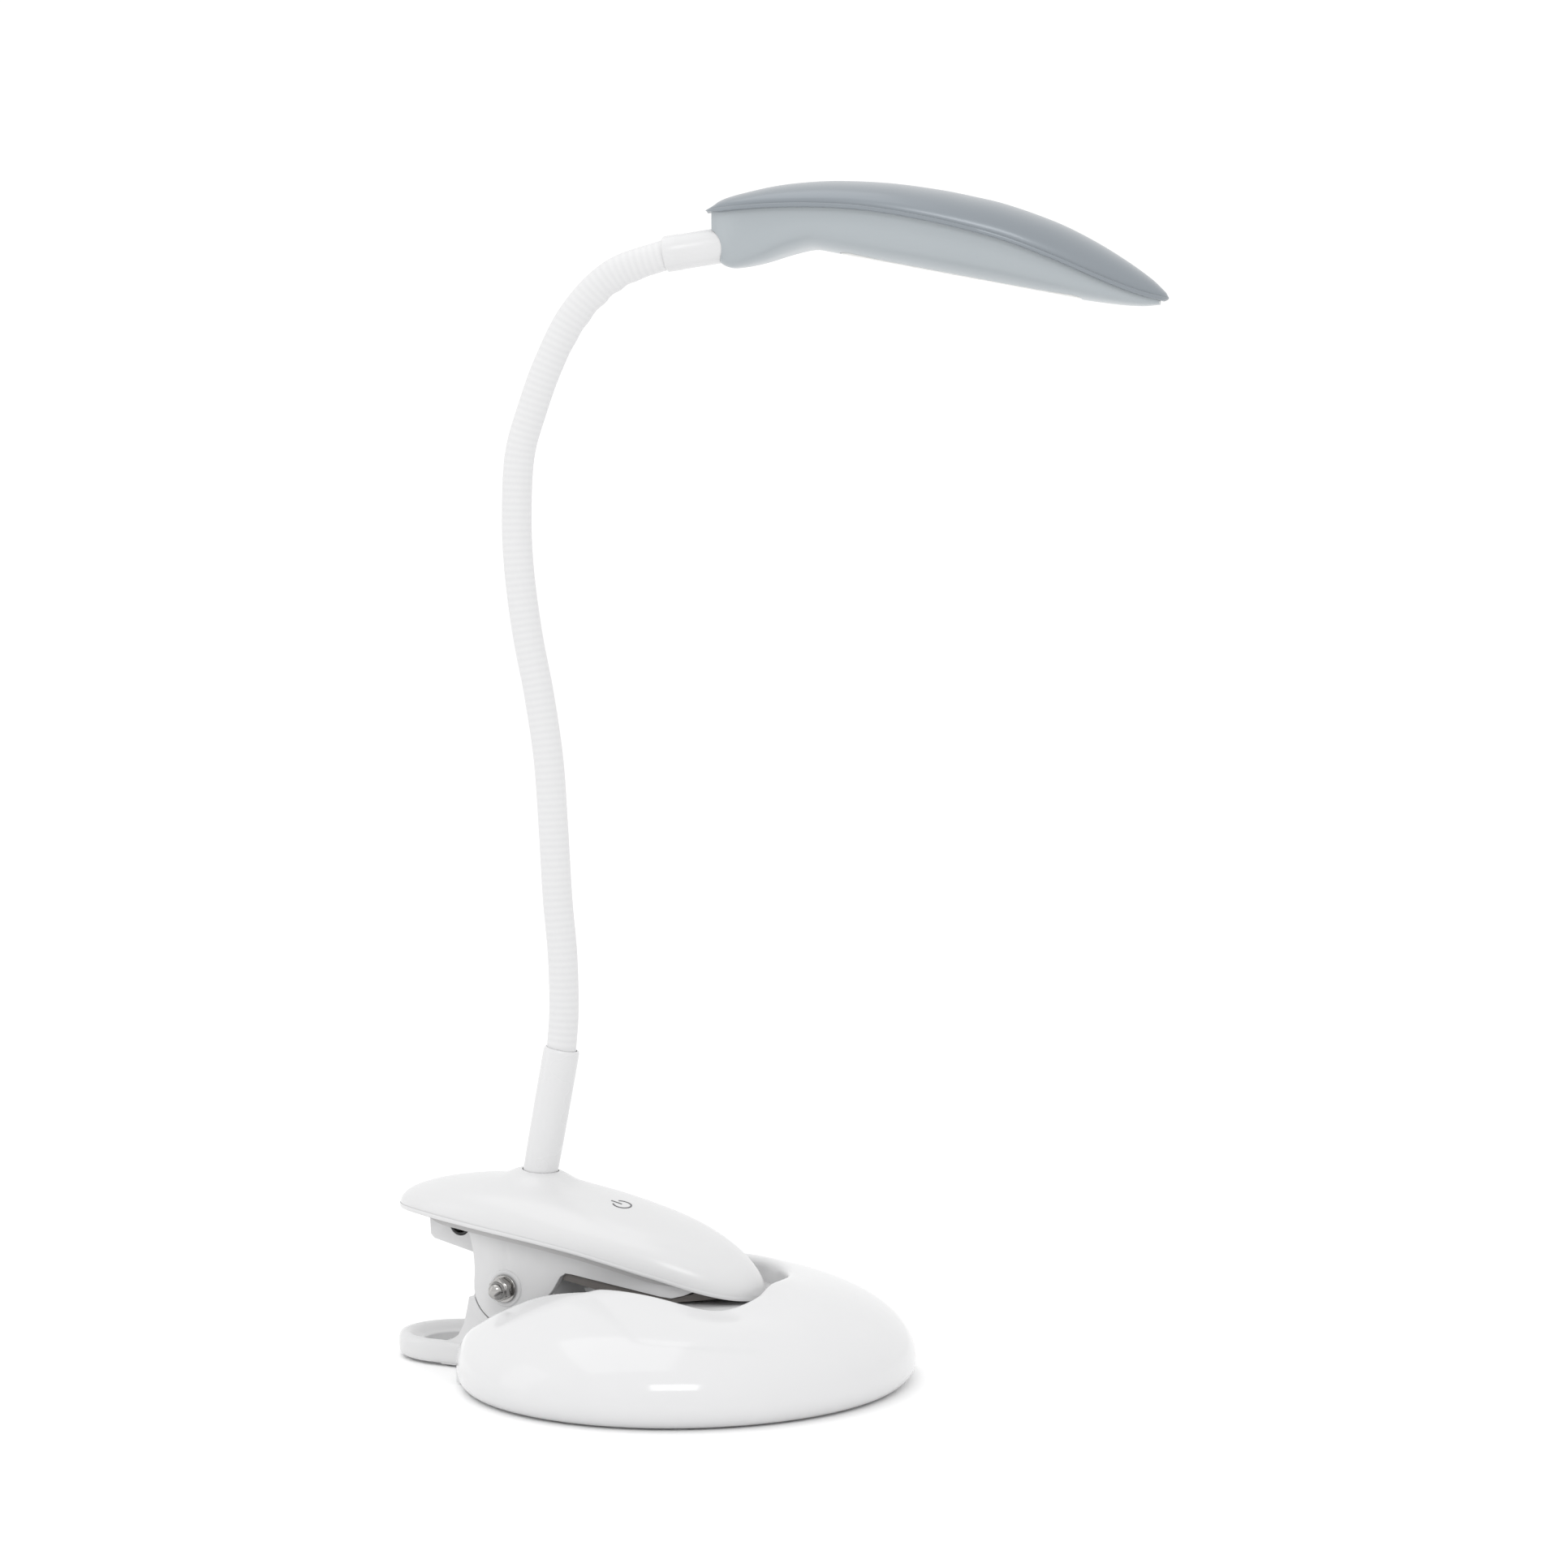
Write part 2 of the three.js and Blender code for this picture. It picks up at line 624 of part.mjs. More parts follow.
// The barrel of the power socket: a cup with its mouth at the face of the block.
function dcJack() {
  const face = -jack.faceY;
  const profile = [
    [0, face - 11],
    [jack.radius, face - 11],
    [jack.radius, face + 0.4],
    [jack.socket, face + 0.4],
    [jack.socket, face - 9],
    [0, face - 9],
  ];
  return turned(profile, 24).rotateX(Math.PI / 2).translate(jack.x, 0, jack.z);
}

function dcJackPin() {
  const face = -jack.faceY;
  const profile = [[0, face - 8.8], [jack.pin, face - 8.8], [jack.pin, face - 1.6], [0, face - 1.2]];
  return turned(profile, 10).rotateX(Math.PI / 2).translate(jack.x, 0, jack.z);
}

function neckLockNut() {
  const nut = solid(new THREE.CylinderGeometry(10, 10, 3, 6).rotateX(Math.PI / 2));
  const bore = solid(new THREE.CylinderGeometry(6.3, 6.3, 9, 24).rotateX(Math.PI / 2));
  return alongCollar(geometryOf(nut.subtract(bore)).translate(0, 0, -7.6));
}

// The rigid foot of the neck: a tube that leans forward out of the collar.
const footReach = 41.2;
function neckBaseFerrule() {
  const outer = neck.ferruleRadius;
  const profile = [
    [4.4, -10.5],
    [5.9, -10.5],
    [5.9, 1],
    [outer, 8],
    [outer, footReach - 1],
    [outer - 0.7, footReach],
    [4.4, footReach],
    [4.4, -10.5],
  ];
  return alongCollar(turned(profile, 24));
}

function buildUpperJaw() {
  const group = new THREE.Group();
  const icon = { x: -22.5, y: -5 };
  const electrodeZ = crestHeight(icon.x) - skin - 2.2;
  group.add(named("jaw_top_shell", geometryOf(jawTopShell()), plastic(0xf2f2f2, 0.24)));
  group.add(named("jaw_tray", geometryOf(jawTray()), plastic(0xededed, 0.32)));
  group.add(named("upper_jaw_pad", upperJawPad(), plastic(0x6d6763, 0.85)));
  group.add(named("touch_circuit_board", box(-31, -6, -13, 13, 43, 44.4), plastic(0x1f5a3a, 0.5)));
  const electrode = post(icon.x, icon.y, 6, electrodeZ - 1, electrodeZ - 0.4);
  group.add(named("touch_electrode", electrode, metal(0xb87345, 0.35)));
  group.add(named("dc_jack", dcJack(), plastic(0x161616, 0.45)));
  group.add(named("dc_jack_pin", dcJackPin(), metal(0xc8c8c8, 0.3)));
  group.add(named("neck_lock_nut", neckLockNut(), metal(0x9d9fa1, 0.35)));
  group.add(named("neck_base_ferrule", neckBaseFerrule(), plastic(0xf0f0f0, 0.3)));
  group.add(named("jaw_spring_upper_leg", springUpperLeg(), metal(0xa9abad, 0.3)));
  trayScrews.forEach((place, i) => {
    group.add(named(`tray_screw_${i + 1}`, trayScrew(place), metal(0x8f9194, 0.35)));
  });
  return group;
}

// ---- neck --------------------------------------------------------------------------------
// The neck's centre line from the foot to the head, in its own upright plane: [reach, height].
const neckLine = [
  [7.5, 107], [8.6, 121], [8.3, 141], [6.6, 161], [5.2, 186], [3.6, 209], [0.4, 231],
  [-3.6, 252], [-6.4, 274], [-7.1, 291], [-5.8, 313], [-1.6, 327.5], [4.2, 343],
  [13.4, 360.2], [26.6, 373], [45.3, 379.6],
];
const inNeckPlane = ([reach, height]) => new THREE.Vector3(reach, 0, height);
const neckCurve = new THREE.CatmullRomCurve3(neckLine.map(inNeckPlane), false, "centripetal");
neckCurve.arcLengthDivisions = 600;

// A round or hollow bar along part of the neck, between two arc lengths.
function neckBar(from, to, outerRadius, boreRadius, sides, steps) {
  const total = neckCurve.getLength();
  const points = [];
  for (let i = 0; i <= steps; i++) {
    points.push(neckCurve.getPointAt((from + ((to - from) * i) / steps) / total));
  }
  const section = new THREE.Shape();
  section.absarc(0, 0, outerRadius, 0, 2 * Math.PI, false);
  if (boreRadius > 0) {
    const bore = new THREE.Path();
    bore.absarc(0, 0, boreRadius, 0, 2 * Math.PI, true);
    section.holes.push(bore);
  }
  const path = new THREE.CatmullRomCurve3(points);
  const options = { steps, bevelEnabled: false, extrudePath: path, curveSegments: sides / 2 };
  return new THREE.ExtrudeGeometry(section, options);
}

function buildNeck() {
  const group = new THREE.Group();
  const span = neckCurve.getLength() / neck.count;
  for (let k = 0; k < neck.count; k++) {
    const from = k * span + neck.endGap / 2;
    const to = (k + 1) * span - neck.endGap / 2;
    const sleeve = neckBar(from, to, neck.sleeveRadius, neck.boreRadius, 12, 4);
    const core = neckBar(from, to, neck.coreRadius, 0, 6, 4);
    group.add(named(`neck_sleeve_${k + 1}`, sleeve, plastic(0xf3f3f3, 0.55)));
    group.add(named(`neck_core_${k + 1}`, core, metal(0x8a8c8e, 0.4)));
  }
  return group;
}

// ---- head --------------------------------------------------------------------------------
const coverCrest = heightLine([
  [59.5, 394.6], [64, 397], [72.5, 399.6], [83.5, 401.9], [94.5, 403.2], [105.5, 403.4],
  [121.9, 402.4], [138.2, 400.1], [160, 395], [176.2, 389.2], [187, 384], [197.8, 377.6],
  [208.5, 370], [214, 365.6],
]);
const coverRim = heightLine([
  [59.5, 391.8], [70.7, 393.8], [81.6, 395], [97.9, 395.2], [114, 394.2], [130, 391.6],
  [146.4, 388], [162.5, 383.5], [178.5, 377.3], [194.5, 370.2], [205, 366], [214, 363.4],
]);
const housingBottom = heightLine([
  [61, 381], [64, 376.2], [67.8, 374.9], [78, 376.2], [90, 379.8], [95.3, 380.6], [105, 378.9],
  [121.9, 375.5], [149.2, 370.2], [176.3, 365], [195.2, 362.2], [210, 361.4],
]);

// Half width of the leaf-shaped head along its reach.
function headHalfWidth(reach) {
  const t = (reach - head.rootS) / (head.tipS - head.rootS);
  const inside = Math.max(0, 1 - Math.abs(2 * t - 1) ** 2.3);
  return head.halfWidth * inside ** 0.62;
}

// The hull under the cover: flat on top, with softly squared sides below.
function hull(x0, x1, halfWidth, top, bottom, stations = 18) {
  const across = 12;
  const rings = [];
  for (let i = 0; i <= stations; i++) {
    const x = (x0 + x1) / 2 - ((x1 - x0) / 2) * Math.cos((Math.PI * i) / stations);
    const half = Math.max(0.3, halfWidth(x));
    const high = top(x);
    const drop = Math.max(0.4, high - bottom(x));
    const ring = [];
    for (let k = 0; k <= across; k++) {
      const angle = Math.PI * (k / across);
      const side = Math.sign(Math.cos(angle)) * Math.abs(Math.cos(angle)) ** 0.6;
      ring.push(new THREE.Vector3(x, -half * side, high - drop * Math.sin(angle) ** 0.6));
    }
    rings.push(ring);
  }
  return loft(rings);
}

// Half width of the hull: the socket end is blunt, the rest follows the leaf.
function hullHalfWidth(x) {
  const socket = 8.6 + Math.max(0, x - 61) * 0.5;
  return Math.max(0.4, Math.min(headHalfWidth(x) - 1.6, x < 84 ? socket : 30));
}

// The flat light window's own frame: middle of the window and its slope.
const lightWindow = { reach: 148, length: 92, halfWidth: 12.4 };
function onWindow(geometry, lift) {
  const slope = Math.atan(-head.pitch);
  const height = housingBottom(lightWindow.reach) + lift;
  return geometry.rotateY(slope).translate(lightWindow.reach, 0, height);
}

function headLowerHousing() {
  const top = (x) => coverRim(x) - 0.6;
  const outer = solid(hull(61, 210.5, hullHalfWidth, top, housingBottom));
  const inner = solid(
    hull(
      72.5,
      206,
      (x) => hullHalfWidth(x) - skin,
      (x) => coverRim(x) + 3,
      (x) => housingBottom(x) + skin,
    ),
  );
  const half = lightWindow.length / 2;
  const opening = onWindow(
    box(-half, half, -lightWindow.halfWidth, lightWindow.halfWidth, -6, 5),
    0,
  );
  const bore = new THREE.CylinderGeometry(6, 6, 40, 24).rotateX(Math.PI / 2);
  return cut(outer, [inner, solid(opening), solid(alongHeadFerrule(bore, 15))]);
}

function headTopCover() {
  const outer = solid(boat(head.rootS, head.tipS, headHalfWidth, coverCrest, coverRim, 20));
  const inner = solid(
    boat(
      head.rootS + skin,
      head.tipS - skin * 2,
      (x) => headHalfWidth(x) - skin,
      (x) => coverCrest(x) - skin,
      (x) => coverRim(x) - 4,
      16,
    ),
  );
  const posts = boardScrewOffsets.map((offset) => {
    const bar = new THREE.CylinderGeometry(2.8, 2.8, 40, 16).rotateX(Math.PI / 2);
    return solid(onWindow(bar.translate(offset, 0, 20 + boardLift + 1.5), 0)).intersect(outer);
  });
  const holes = boardScrewOffsets.map((offset) => {
    const bar = new THREE.CylinderGeometry(1.5, 1.5, 9, 12).rotateX(Math.PI / 2);
    return solid(onWindow(bar.translate(offset, 0, boardLift + 4.4), 0));
  });
  return cut(join([outer.subtract(inner), ...posts]), holes);
}

const boardLift = 6;
const boardScrewOffsets = [-36, 34];

function headDiffuser() {
  const half = lightWindow.length / 2 - gap;
  const side = lightWindow.halfWidth - gap;
  return onWindow(box(-half, half, -side, side, 0.4, 2.2), 0);
}

function ledBoard() {
  const half = lightWindow.length / 2 - 4;
  const board = solid(box(-half, half, -8, 8, boardLift, boardLift + 1.2));
  const holes = boardScrewOffsets.map((offset) => solid(post(offset, 0, 1.5, 0, 20)));
  return onWindow(geometryOf(cut(board, holes)), 0);
}

// A row of light-emitting packages on one carrier strip, at each side of the board screws.
function ledStrip() {
  const low = boardLift - 1;
  const carrier = solid(box(-40, 40, 3.2, 5.8, low, boardLift - 0.3));
  const lamps = [];
  for (let x = -38; x <= 38; x += 7.6) {
    lamps.push(solid(box(x - 1.4, x + 1.4, 2.9, 6.1, low - 0.8, low + 0.3)));
  }
  return onWindow(geometryOf(join([carrier, ...lamps])), 0);
}

function boardScrew(offset) {
  const foot = boardLift - 1.4;
  const profile = [[0, 0], [2.3, 0], [2.3, 1.1], [1.2, 1.2], [1.2, 7.4], [0, 7.8]];
  return onWindow(turned(profile, 12).translate(offset, 0, foot), 0);
}

// The rigid end of the neck, where it enters the head's socket.
const headFerrule = { reach: 45.6, height: 379.7, lean: Math.atan2(17.5, 2.6), length: 23 };
function alongHeadFerrule(geometry, lift) {
  const leaned = geometry.translate(0, 0, lift).rotateY(headFerrule.lean);
  return leaned.translate(headFerrule.reach, 0, headFerrule.height);
}

function neckHeadFerrule() {
  const outer = neck.headFerruleRadius;
  const profile = [
    [4, 0.5],
    [outer - 0.5, 0.5],
    [outer, 1.2],
    [outer, headFerrule.length],
    [4, headFerrule.length],
    [4, 0.5],
  ];
  return alongHeadFerrule(turned(profile, 24), 0);
}

function buildHead() {
  const group = new THREE.Group();
  group.add(named("neck_head_ferrule", neckHeadFerrule(), plastic(0xf0f0f0, 0.3)));
  group.add(named("head_lower_housing", geometryOf(headLowerHousing()), plastic(0xc2c7cb, 0.3)));
  group.add(named("head_top_cover", geometryOf(headTopCover()), plastic(0x9aa3ae, 0.28)));
  group.add(named("head_diffuser", headDiffuser(), plastic(0xf6f6f2, 0.5)));
  group.add(named("led_board", ledBoard(), plastic(0xe9e9e6, 0.5)));
  group.add(named("led_strip", ledStrip(), plastic(0xf2dd9a, 0.4)));
  boardScrewOffsets.forEach((offset, i) => {
    group.add(named(`board_screw_${i + 1}`, boardScrew(offset), metal(0x8f9194, 0.35)));
  });
  return group;
}

// ---- assembly ----------------------------------------------------------------------------
const lamp = new THREE.Group();
lamp.add(buildStand());
lamp.add(buildLowerJaw());
lamp.add(buildUpperJaw());
const neckAndHead = new THREE.Group();
neckAndHead.position.x = collar.x;
neckAndHead.rotation.z = neck.yaw;
neckAndHead.add(buildNeck());
neckAndHead.add(buildHead());
lamp.add(neckAndHead);

export default lamp;
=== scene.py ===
import bisect
import math

import bmesh
import bpy
from mathutils import Matrix, Vector
from mathutils.kdtree import KDTree


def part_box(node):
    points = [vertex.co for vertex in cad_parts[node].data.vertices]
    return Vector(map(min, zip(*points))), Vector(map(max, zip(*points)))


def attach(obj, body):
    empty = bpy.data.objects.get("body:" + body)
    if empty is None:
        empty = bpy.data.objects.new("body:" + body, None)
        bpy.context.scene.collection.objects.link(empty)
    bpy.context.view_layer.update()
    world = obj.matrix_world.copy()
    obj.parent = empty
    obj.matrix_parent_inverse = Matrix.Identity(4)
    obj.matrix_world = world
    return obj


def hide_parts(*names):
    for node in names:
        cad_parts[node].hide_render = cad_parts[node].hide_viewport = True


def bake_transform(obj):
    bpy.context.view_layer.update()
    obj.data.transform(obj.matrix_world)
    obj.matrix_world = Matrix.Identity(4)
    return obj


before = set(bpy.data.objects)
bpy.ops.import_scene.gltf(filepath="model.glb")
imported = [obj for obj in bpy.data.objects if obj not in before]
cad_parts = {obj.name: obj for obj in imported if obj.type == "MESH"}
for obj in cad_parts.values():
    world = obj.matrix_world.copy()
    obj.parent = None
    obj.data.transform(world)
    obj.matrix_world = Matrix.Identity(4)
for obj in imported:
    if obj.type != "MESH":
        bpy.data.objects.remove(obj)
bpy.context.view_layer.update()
mm = 0.001
print("frame loaded,", len(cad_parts), "nodes")


def at(x, y, z):
    return Vector((x, y, z)) * mm


# Camera.
view = dict(aim=(21.7, 28.8, 201.3), azimuth=28, elevation=4.5, distance=1500, lens=101.8)


def makeCamera():
    azimuth = math.radians(view["azimuth"])
    elevation = math.radians(view["elevation"])
    back = Vector((math.sin(azimuth) * math.cos(elevation), -math.cos(azimuth) * math.cos(elevation),
                   math.sin(elevation)))
    camera = bpy.data.objects.new("camera", bpy.data.cameras.new("camera"))
    bpy.context.scene.collection.objects.link(camera)
    camera.location = at(*view["aim"]) + back * view["distance"] * mm
    camera.rotation_mode = "QUATERNION"
    camera.rotation_quaternion = (-back).to_track_quat("-Z", "Y")
    camera.data.lens = view["lens"]
    camera.data.sensor_width = 36
    camera.data.clip_start = 0.05
    camera.data.clip_end = 30
    bpy.context.scene.camera = camera


makeCamera()
print("camera placed")


# Materials.
class Wire:
    # one output of a material's node, so that maths on it reads as an expression
    def __init__(self, finish, socket):
        self.finish = finish
        self.socket = socket

    def maths(self, operation, first, second):
        return self.finish.node("Math", dict(operation=operation), {0: first, 1: second})

    def __add__(self, other):
        return self.maths("ADD", self, other)

    def __radd__(self, other):
        return self.maths("ADD", other, self)

    def __sub__(self, other):
        return self.maths("SUBTRACT", self, other)

    def __rsub__(self, other):
        return self.maths("SUBTRACT", other, self)

    def __mul__(self, other):
        return self.maths("MULTIPLY", self, other)

    def __rmul__(self, other):
        return self.maths("MULTIPLY", other, self)


class Finish:
    # a material in the making
    def __init__(self, name):
        self.material = bpy.data.materials.new(name)
        self.material.use_nodes = True
        self.tree = self.material.node_tree
        self.shader = self.tree.nodes["Principled BSDF"]

    def node(self, kind, settings=None, inputs=None, output=0):
        made = self.tree.nodes.new("ShaderNode" + kind)
        for key, value in (settings or {}).items():
            if key == "stops":
                for stop, (place, shade) in zip(made.color_ramp.elements, value):
                    stop.position = place
                    stop.color = (shade, shade, shade, 1)
            else:
                setattr(made, key, value)
        for key, value in (inputs or {}).items():
            self.feed(made.inputs[key], value)
        return Wire(self, made.outputs[output])

    def feed(self, socket, value):
        if isinstance(value, Wire):
            self.tree.links.new(value.socket, socket)
        else:
            socket.default_value = value

    def set(self, **sockets):
        for name, value in sockets.items():
            self.feed(self.shader.inputs[name.replace("_", " ")], value)

    def place(self, scale=(1, 1, 1)):
        spot = self.node("TexCoord", output=3)
        return self.node("Mapping", inputs={"Vector": spot, "Scale": scale})

    def noise(self, scale, detail=2.0, roughness=0.5, stretch=(1, 1, 1)):
        settings = {"Vector": self.place(stretch), "Scale": scale, "Detail": detail, "Roughness": roughness}
        return self.node("TexNoise", inputs=settings)

    def blendColour(self, mask, first, second):
        inputs = {0: mask, 6: (*first, 1), 7: (*second, 1)}
        return self.node("Mix", dict(data_type="RGBA"), inputs, output=2)

    def bump(self, height, strength, distance):
        inputs = {"Height": height, "Strength": strength, "Distance": distance * mm}
        self.set(Normal=self.node("Bump", inputs=inputs))


plasticLook = dict(
    standWhite=dict(pale=(0.675, 0.675, 0.68), deep=(0.65, 0.65, 0.656),
                    gloss=0.10, spread=0.05, grain=0.010),
    clipWhite=dict(pale=(0.65, 0.65, 0.653), deep=(0.625, 0.625, 0.63),
                   gloss=0.24, spread=0.06, grain=0.018),
    # darker grey for the seam band under the clip's lip: painted shade
    seamPaintedShade=dict(pale=(0.47, 0.465, 0.465), deep=(0.43, 0.425, 0.425),
                  gloss=0.42, spread=0.08, grain=0.03),
    ferruleWhite=dict(pale=(0.67, 0.67, 0.674), deep=(0.645, 0.645, 0.65),
                      gloss=0.27, spread=0.06, grain=0.02),
    plateWhite=dict(pale=(0.72, 0.72, 0.73), deep=(0.66, 0.66, 0.67),
                    gloss=0.42, spread=0.10, grain=0.05),
    boardWhite=dict(pale=(0.80, 0.80, 0.78), deep=(0.72, 0.72, 0.70),
                    gloss=0.38, spread=0.12, grain=0.03),
    jackBlack=dict(pale=(0.020, 0.020, 0.021), deep=(0.012, 0.012, 0.013),
                   gloss=0.40, spread=0.15, grain=0.03),
)


# Moulded plastic: a faint mottle in the colour, uneven gloss from handling and a fine spark-eroded grain.
def plastic(name):
    look = plasticLook[name]
    finish = Finish(name)
    mottle = finish.noise(38, 3)
    handling = finish.noise(16, 4, 0.6)
    grain = finish.noise(2600, 2, 0.6)
    finish.set(
        Base_Color=finish.blendColour(mottle, look["pale"], look["deep"]),
        Roughness=handling * look["spread"] + (look["gloss"] - look["spread"] * 0.5),
        IOR=1.5,
    )
    finish.bump(grain, 0.35, look["grain"])
    return finish.material


coverLook = dict(
    coverGrey=dict(pale=(0.238, 0.264, 0.290), deep=(0.214, 0.240, 0.265),
                   flake=0.22, rough=0.32, coat=0.30),
    housingSilver=dict(pale=(0.375, 0.408, 0.430), deep=(0.350, 0.382, 0.402),
                       flake=0.22, rough=0.33, coat=0.30),
)


# Satin lacquer with a fine pearl: tiny flakes change the colour and the gloss from grain to grain.
def lacquer(name):
    look = coverLook[name]
    finish = Finish(name)
    flakes = finish.node("TexVoronoi", inputs={"Vector": finish.place(), "Scale": 5200}, output=0)
    cloud = finish.noise(24, 3)
    orangePeel = finish.noise(420, 2)
    finish.set(
        Base_Color=finish.blendColour(cloud * 0.7 + flakes * 0.3, look["pale"], look["deep"]),
        Metallic=look["flake"],
        Roughness=flakes * 0.10 + (look["rough"] - 0.05) + cloud * 0.04,
        Coat_Weight=look["coat"],
        Coat_Roughness=0.12,
    )
    finish.bump(orangePeel, 0.25, 0.03)
    return finish.material


# Soft vinyl: satin skin with painted shade greying the grooves, and fine draw lines along it.
def vinyl():
    finish = Finish("neckVinyl")
    draw = finish.noise(900, 3, 0.6, (1, 1, 0.15))
    cloud = finish.noise(60, 3)
    # the groove layer darkens the colour in the grooves: painted shade
    groove = finish.node("VertexColor", dict(layer_name="groove"))
    depth = finish.node("SeparateColor", inputs={0: groove})
    finish.set(
        Base_Color=finish.blendColour(depth * 0.8 + cloud * 0.2, (0.68, 0.68, 0.683), (0.64, 0.64, 0.646)),
        Roughness=cloud * 0.10 + 0.40,
        Sheen_Weight=0.05,
    )
    finish.bump(draw, 0.25, 0.03)
    return finish.material


metalLook = dict(
    polishedSteel=dict(pale=(0.46, 0.45, 0.44), deep=(0.36, 0.355, 0.345),
                       gloss=0.12, spread=0.12, lines=(1, 14, 1)),
    screwSteel=dict(pale=(0.62, 0.62, 0.63), deep=(0.48, 0.48, 0.50),
                    gloss=0.30, spread=0.20, lines=(1, 1, 10)),
    springSteel=dict(pale=(0.66, 0.66, 0.67), deep=(0.50, 0.50, 0.52),
                     gloss=0.22, spread=0.16, lines=(1, 1, 1)),
    neckSteel=dict(pale=(0.46, 0.47, 0.48), deep=(0.34, 0.35, 0.36),
                   gloss=0.34, spread=0.20, lines=(1, 1, 30)),
    ballastSteel=dict(pale=(0.42, 0.43, 0.44), deep=(0.30, 0.31, 0.32),
                      gloss=0.45, spread=0.25, lines=(6, 1, 1)),
    copper=dict(pale=(0.78, 0.44, 0.28), deep=(0.62, 0.32, 0.19),
                gloss=0.28, spread=0.22, lines=(1, 1, 1)),
)


# Bare metal: brushed or turned lines, a cloudy tint and uneven polish.
def metal(name):
    look = metalLook[name]
    finish = Finish(name)
    lines = finish.noise(700, 3, 0.6, look["lines"])
    cloud = finish.noise(180, 3)
    finish.set(
        Base_Color=finish.blendColour(cloud * 0.6 + lines * 0.4, look["pale"], look["deep"]),
        Metallic=1.0,
        Roughness=lines * look["spread"] + look["gloss"],
    )
    finish.bump(lines, 0.2, 0.01)
    return finish.material


rubberLook = dict(
    gripRubber=dict(pale=(0.150, 0.138, 0.130), deep=(0.105, 0.096, 0.090), gloss=0.62),
    footRubber=dict(pale=(0.045, 0.045, 0.047), deep=(0.028, 0.028, 0.030), gloss=0.74),
)


# Matte rubber: a leathery moulded skin with pale dust in the high spots.
def rubber(name):
    look = rubberLook[name]
    finish = Finish(name)
    skin = finish.node("TexVoronoi", inputs={"Vector": finish.place(), "Scale": 1500}, output=0)
    dust = finish.noise(90, 4, 0.65)
    finish.set(
        Base_Color=finish.blendColour(dust, look["pale"], look["deep"]),
        Roughness=dust * 0.14 + look["gloss"],
    )
    finish.bump(skin * 0.7 + dust * 0.3, 0.5, 0.05)
    return finish.material


# Frosted lens: milky plastic with a fine rough skin.
def frosted():
    finish = Finish("diffuser")
    frost = finish.noise(1500, 2)
    cloud = finish.noise(30, 2)
    finish.set(
        Base_Color=finish.blendColour(cloud, (0.90, 0.90, 0.88), (0.85, 0.85, 0.84)),
        Roughness=frost * 0.16 + 0.34,
        Transmission_Weight=0.12,
    )
    finish.bump(frost, 0.3, 0.03)
    return finish.material


# Solder mask over copper tracks: the tracks show as slightly raised, lighter paths.
def solderMask():
    finish = Finish("boardGreen")
    tracks = finish.node("TexWave", dict(bands_direction="DIAGONAL"),
                         {"Vector": finish.place(), "Scale": 160, "Distortion": 6.0, "Detail": 1.0})
    path = finish.node("ValToRGB", dict(stops=[(0.45, 0.0), (0.55, 1.0)]), {0: tracks})
    finish.set(
        Base_Color=finish.blendColour(path, (0.012, 0.105, 0.048), (0.022, 0.165, 0.075)),
        Roughness=path * 0.1 + 0.28,
    )
    finish.bump(path, 0.4, 0.04)
    return finish.material


# Phosphor packages on a white strip.
def phosphor():
    finish = Finish("ledPhosphor")
    speckle = finish.noise(2400, 3, 0.6)
    finish.set(
        Base_Color=finish.blendColour(speckle, (0.86, 0.72, 0.26), (0.78, 0.60, 0.16)),
        Roughness=speckle * 0.15 + 0.40,
    )
    finish.bump(speckle, 0.3, 0.02)
    return finish.material


# Grey print on the clip, a little worn.
def inkPrint():
    finish = Finish("iconInk")
    wear = finish.noise(1200, 3, 0.6)
    finish.set(
        Base_Color=finish.blendColour(wear, (0.085, 0.085, 0.09), (0.12, 0.12, 0.125)),
        Roughness=wear * 0.15 + 0.38,
    )
    finish.bump(wear, 0.2, 0.01)
    return finish.material


looks = {name: plastic(name) for name in plasticLook}
looks.update({name: lacquer(name) for name in coverLook})
looks.update({name: metal(name) for name in metalLook})
looks.update({name: rubber(name) for name in rubberLook})
looks.update(neckVinyl=vinyl(), diffuser=frosted(), boardGreen=solderMask())
looks.update(ledPhosphor=phosphor(), iconInk=inkPrint())
print("materials made:", len(looks))


# Modelling helpers.
def smoothStep(low, high, value):
    t = min(1, max(0, (value - low) / (high - low)))
    return t * t * (3 - 2 * t)


# A smooth height over a run of (place, height) points.
def lineThrough(points):
    places = [place for place, _ in points]
    heights = [height for _, height in points]
    count = len(points)
    slopes = []
    for i in range(count):
        low, high = max(0, i - 1), min(count - 1, i + 1)
        slopes.append((heights[high] - heights[low]) / (places[high] - places[low]))

    def height(place):
        place = min(max(place, places[0]), places[-1])
        i = min(max(bisect.bisect(places, place) - 1, 0), count - 2)
        span = places[i + 1] - places[i]
        t = (place - places[i]) / span
        low = (1 + 2 * t) * (1 - t) ** 2 * heights[i] + t * (1 - t) ** 2 * span * slopes[i]
        high = t * t * (3 - 2 * t) * heights[i + 1] + t * t * (t - 1) * span * slopes[i + 1]
        return low + high

    return height


def tidyMesh(mesh, weld=2e-6):
    bmesh.ops.remove_doubles(mesh, verts=mesh.verts, dist=weld)
    bmesh.ops.dissolve_degenerate(mesh, dist=1e-7, edges=mesh.edges)
    gaps = [edge for edge in mesh.edges if edge.is_boundary]
    if gaps:
        bmesh.ops.holes_fill(mesh, edges=gaps, sides=0)
    bmesh.ops.recalc_face_normals(mesh, faces=mesh.faces)
    return mesh


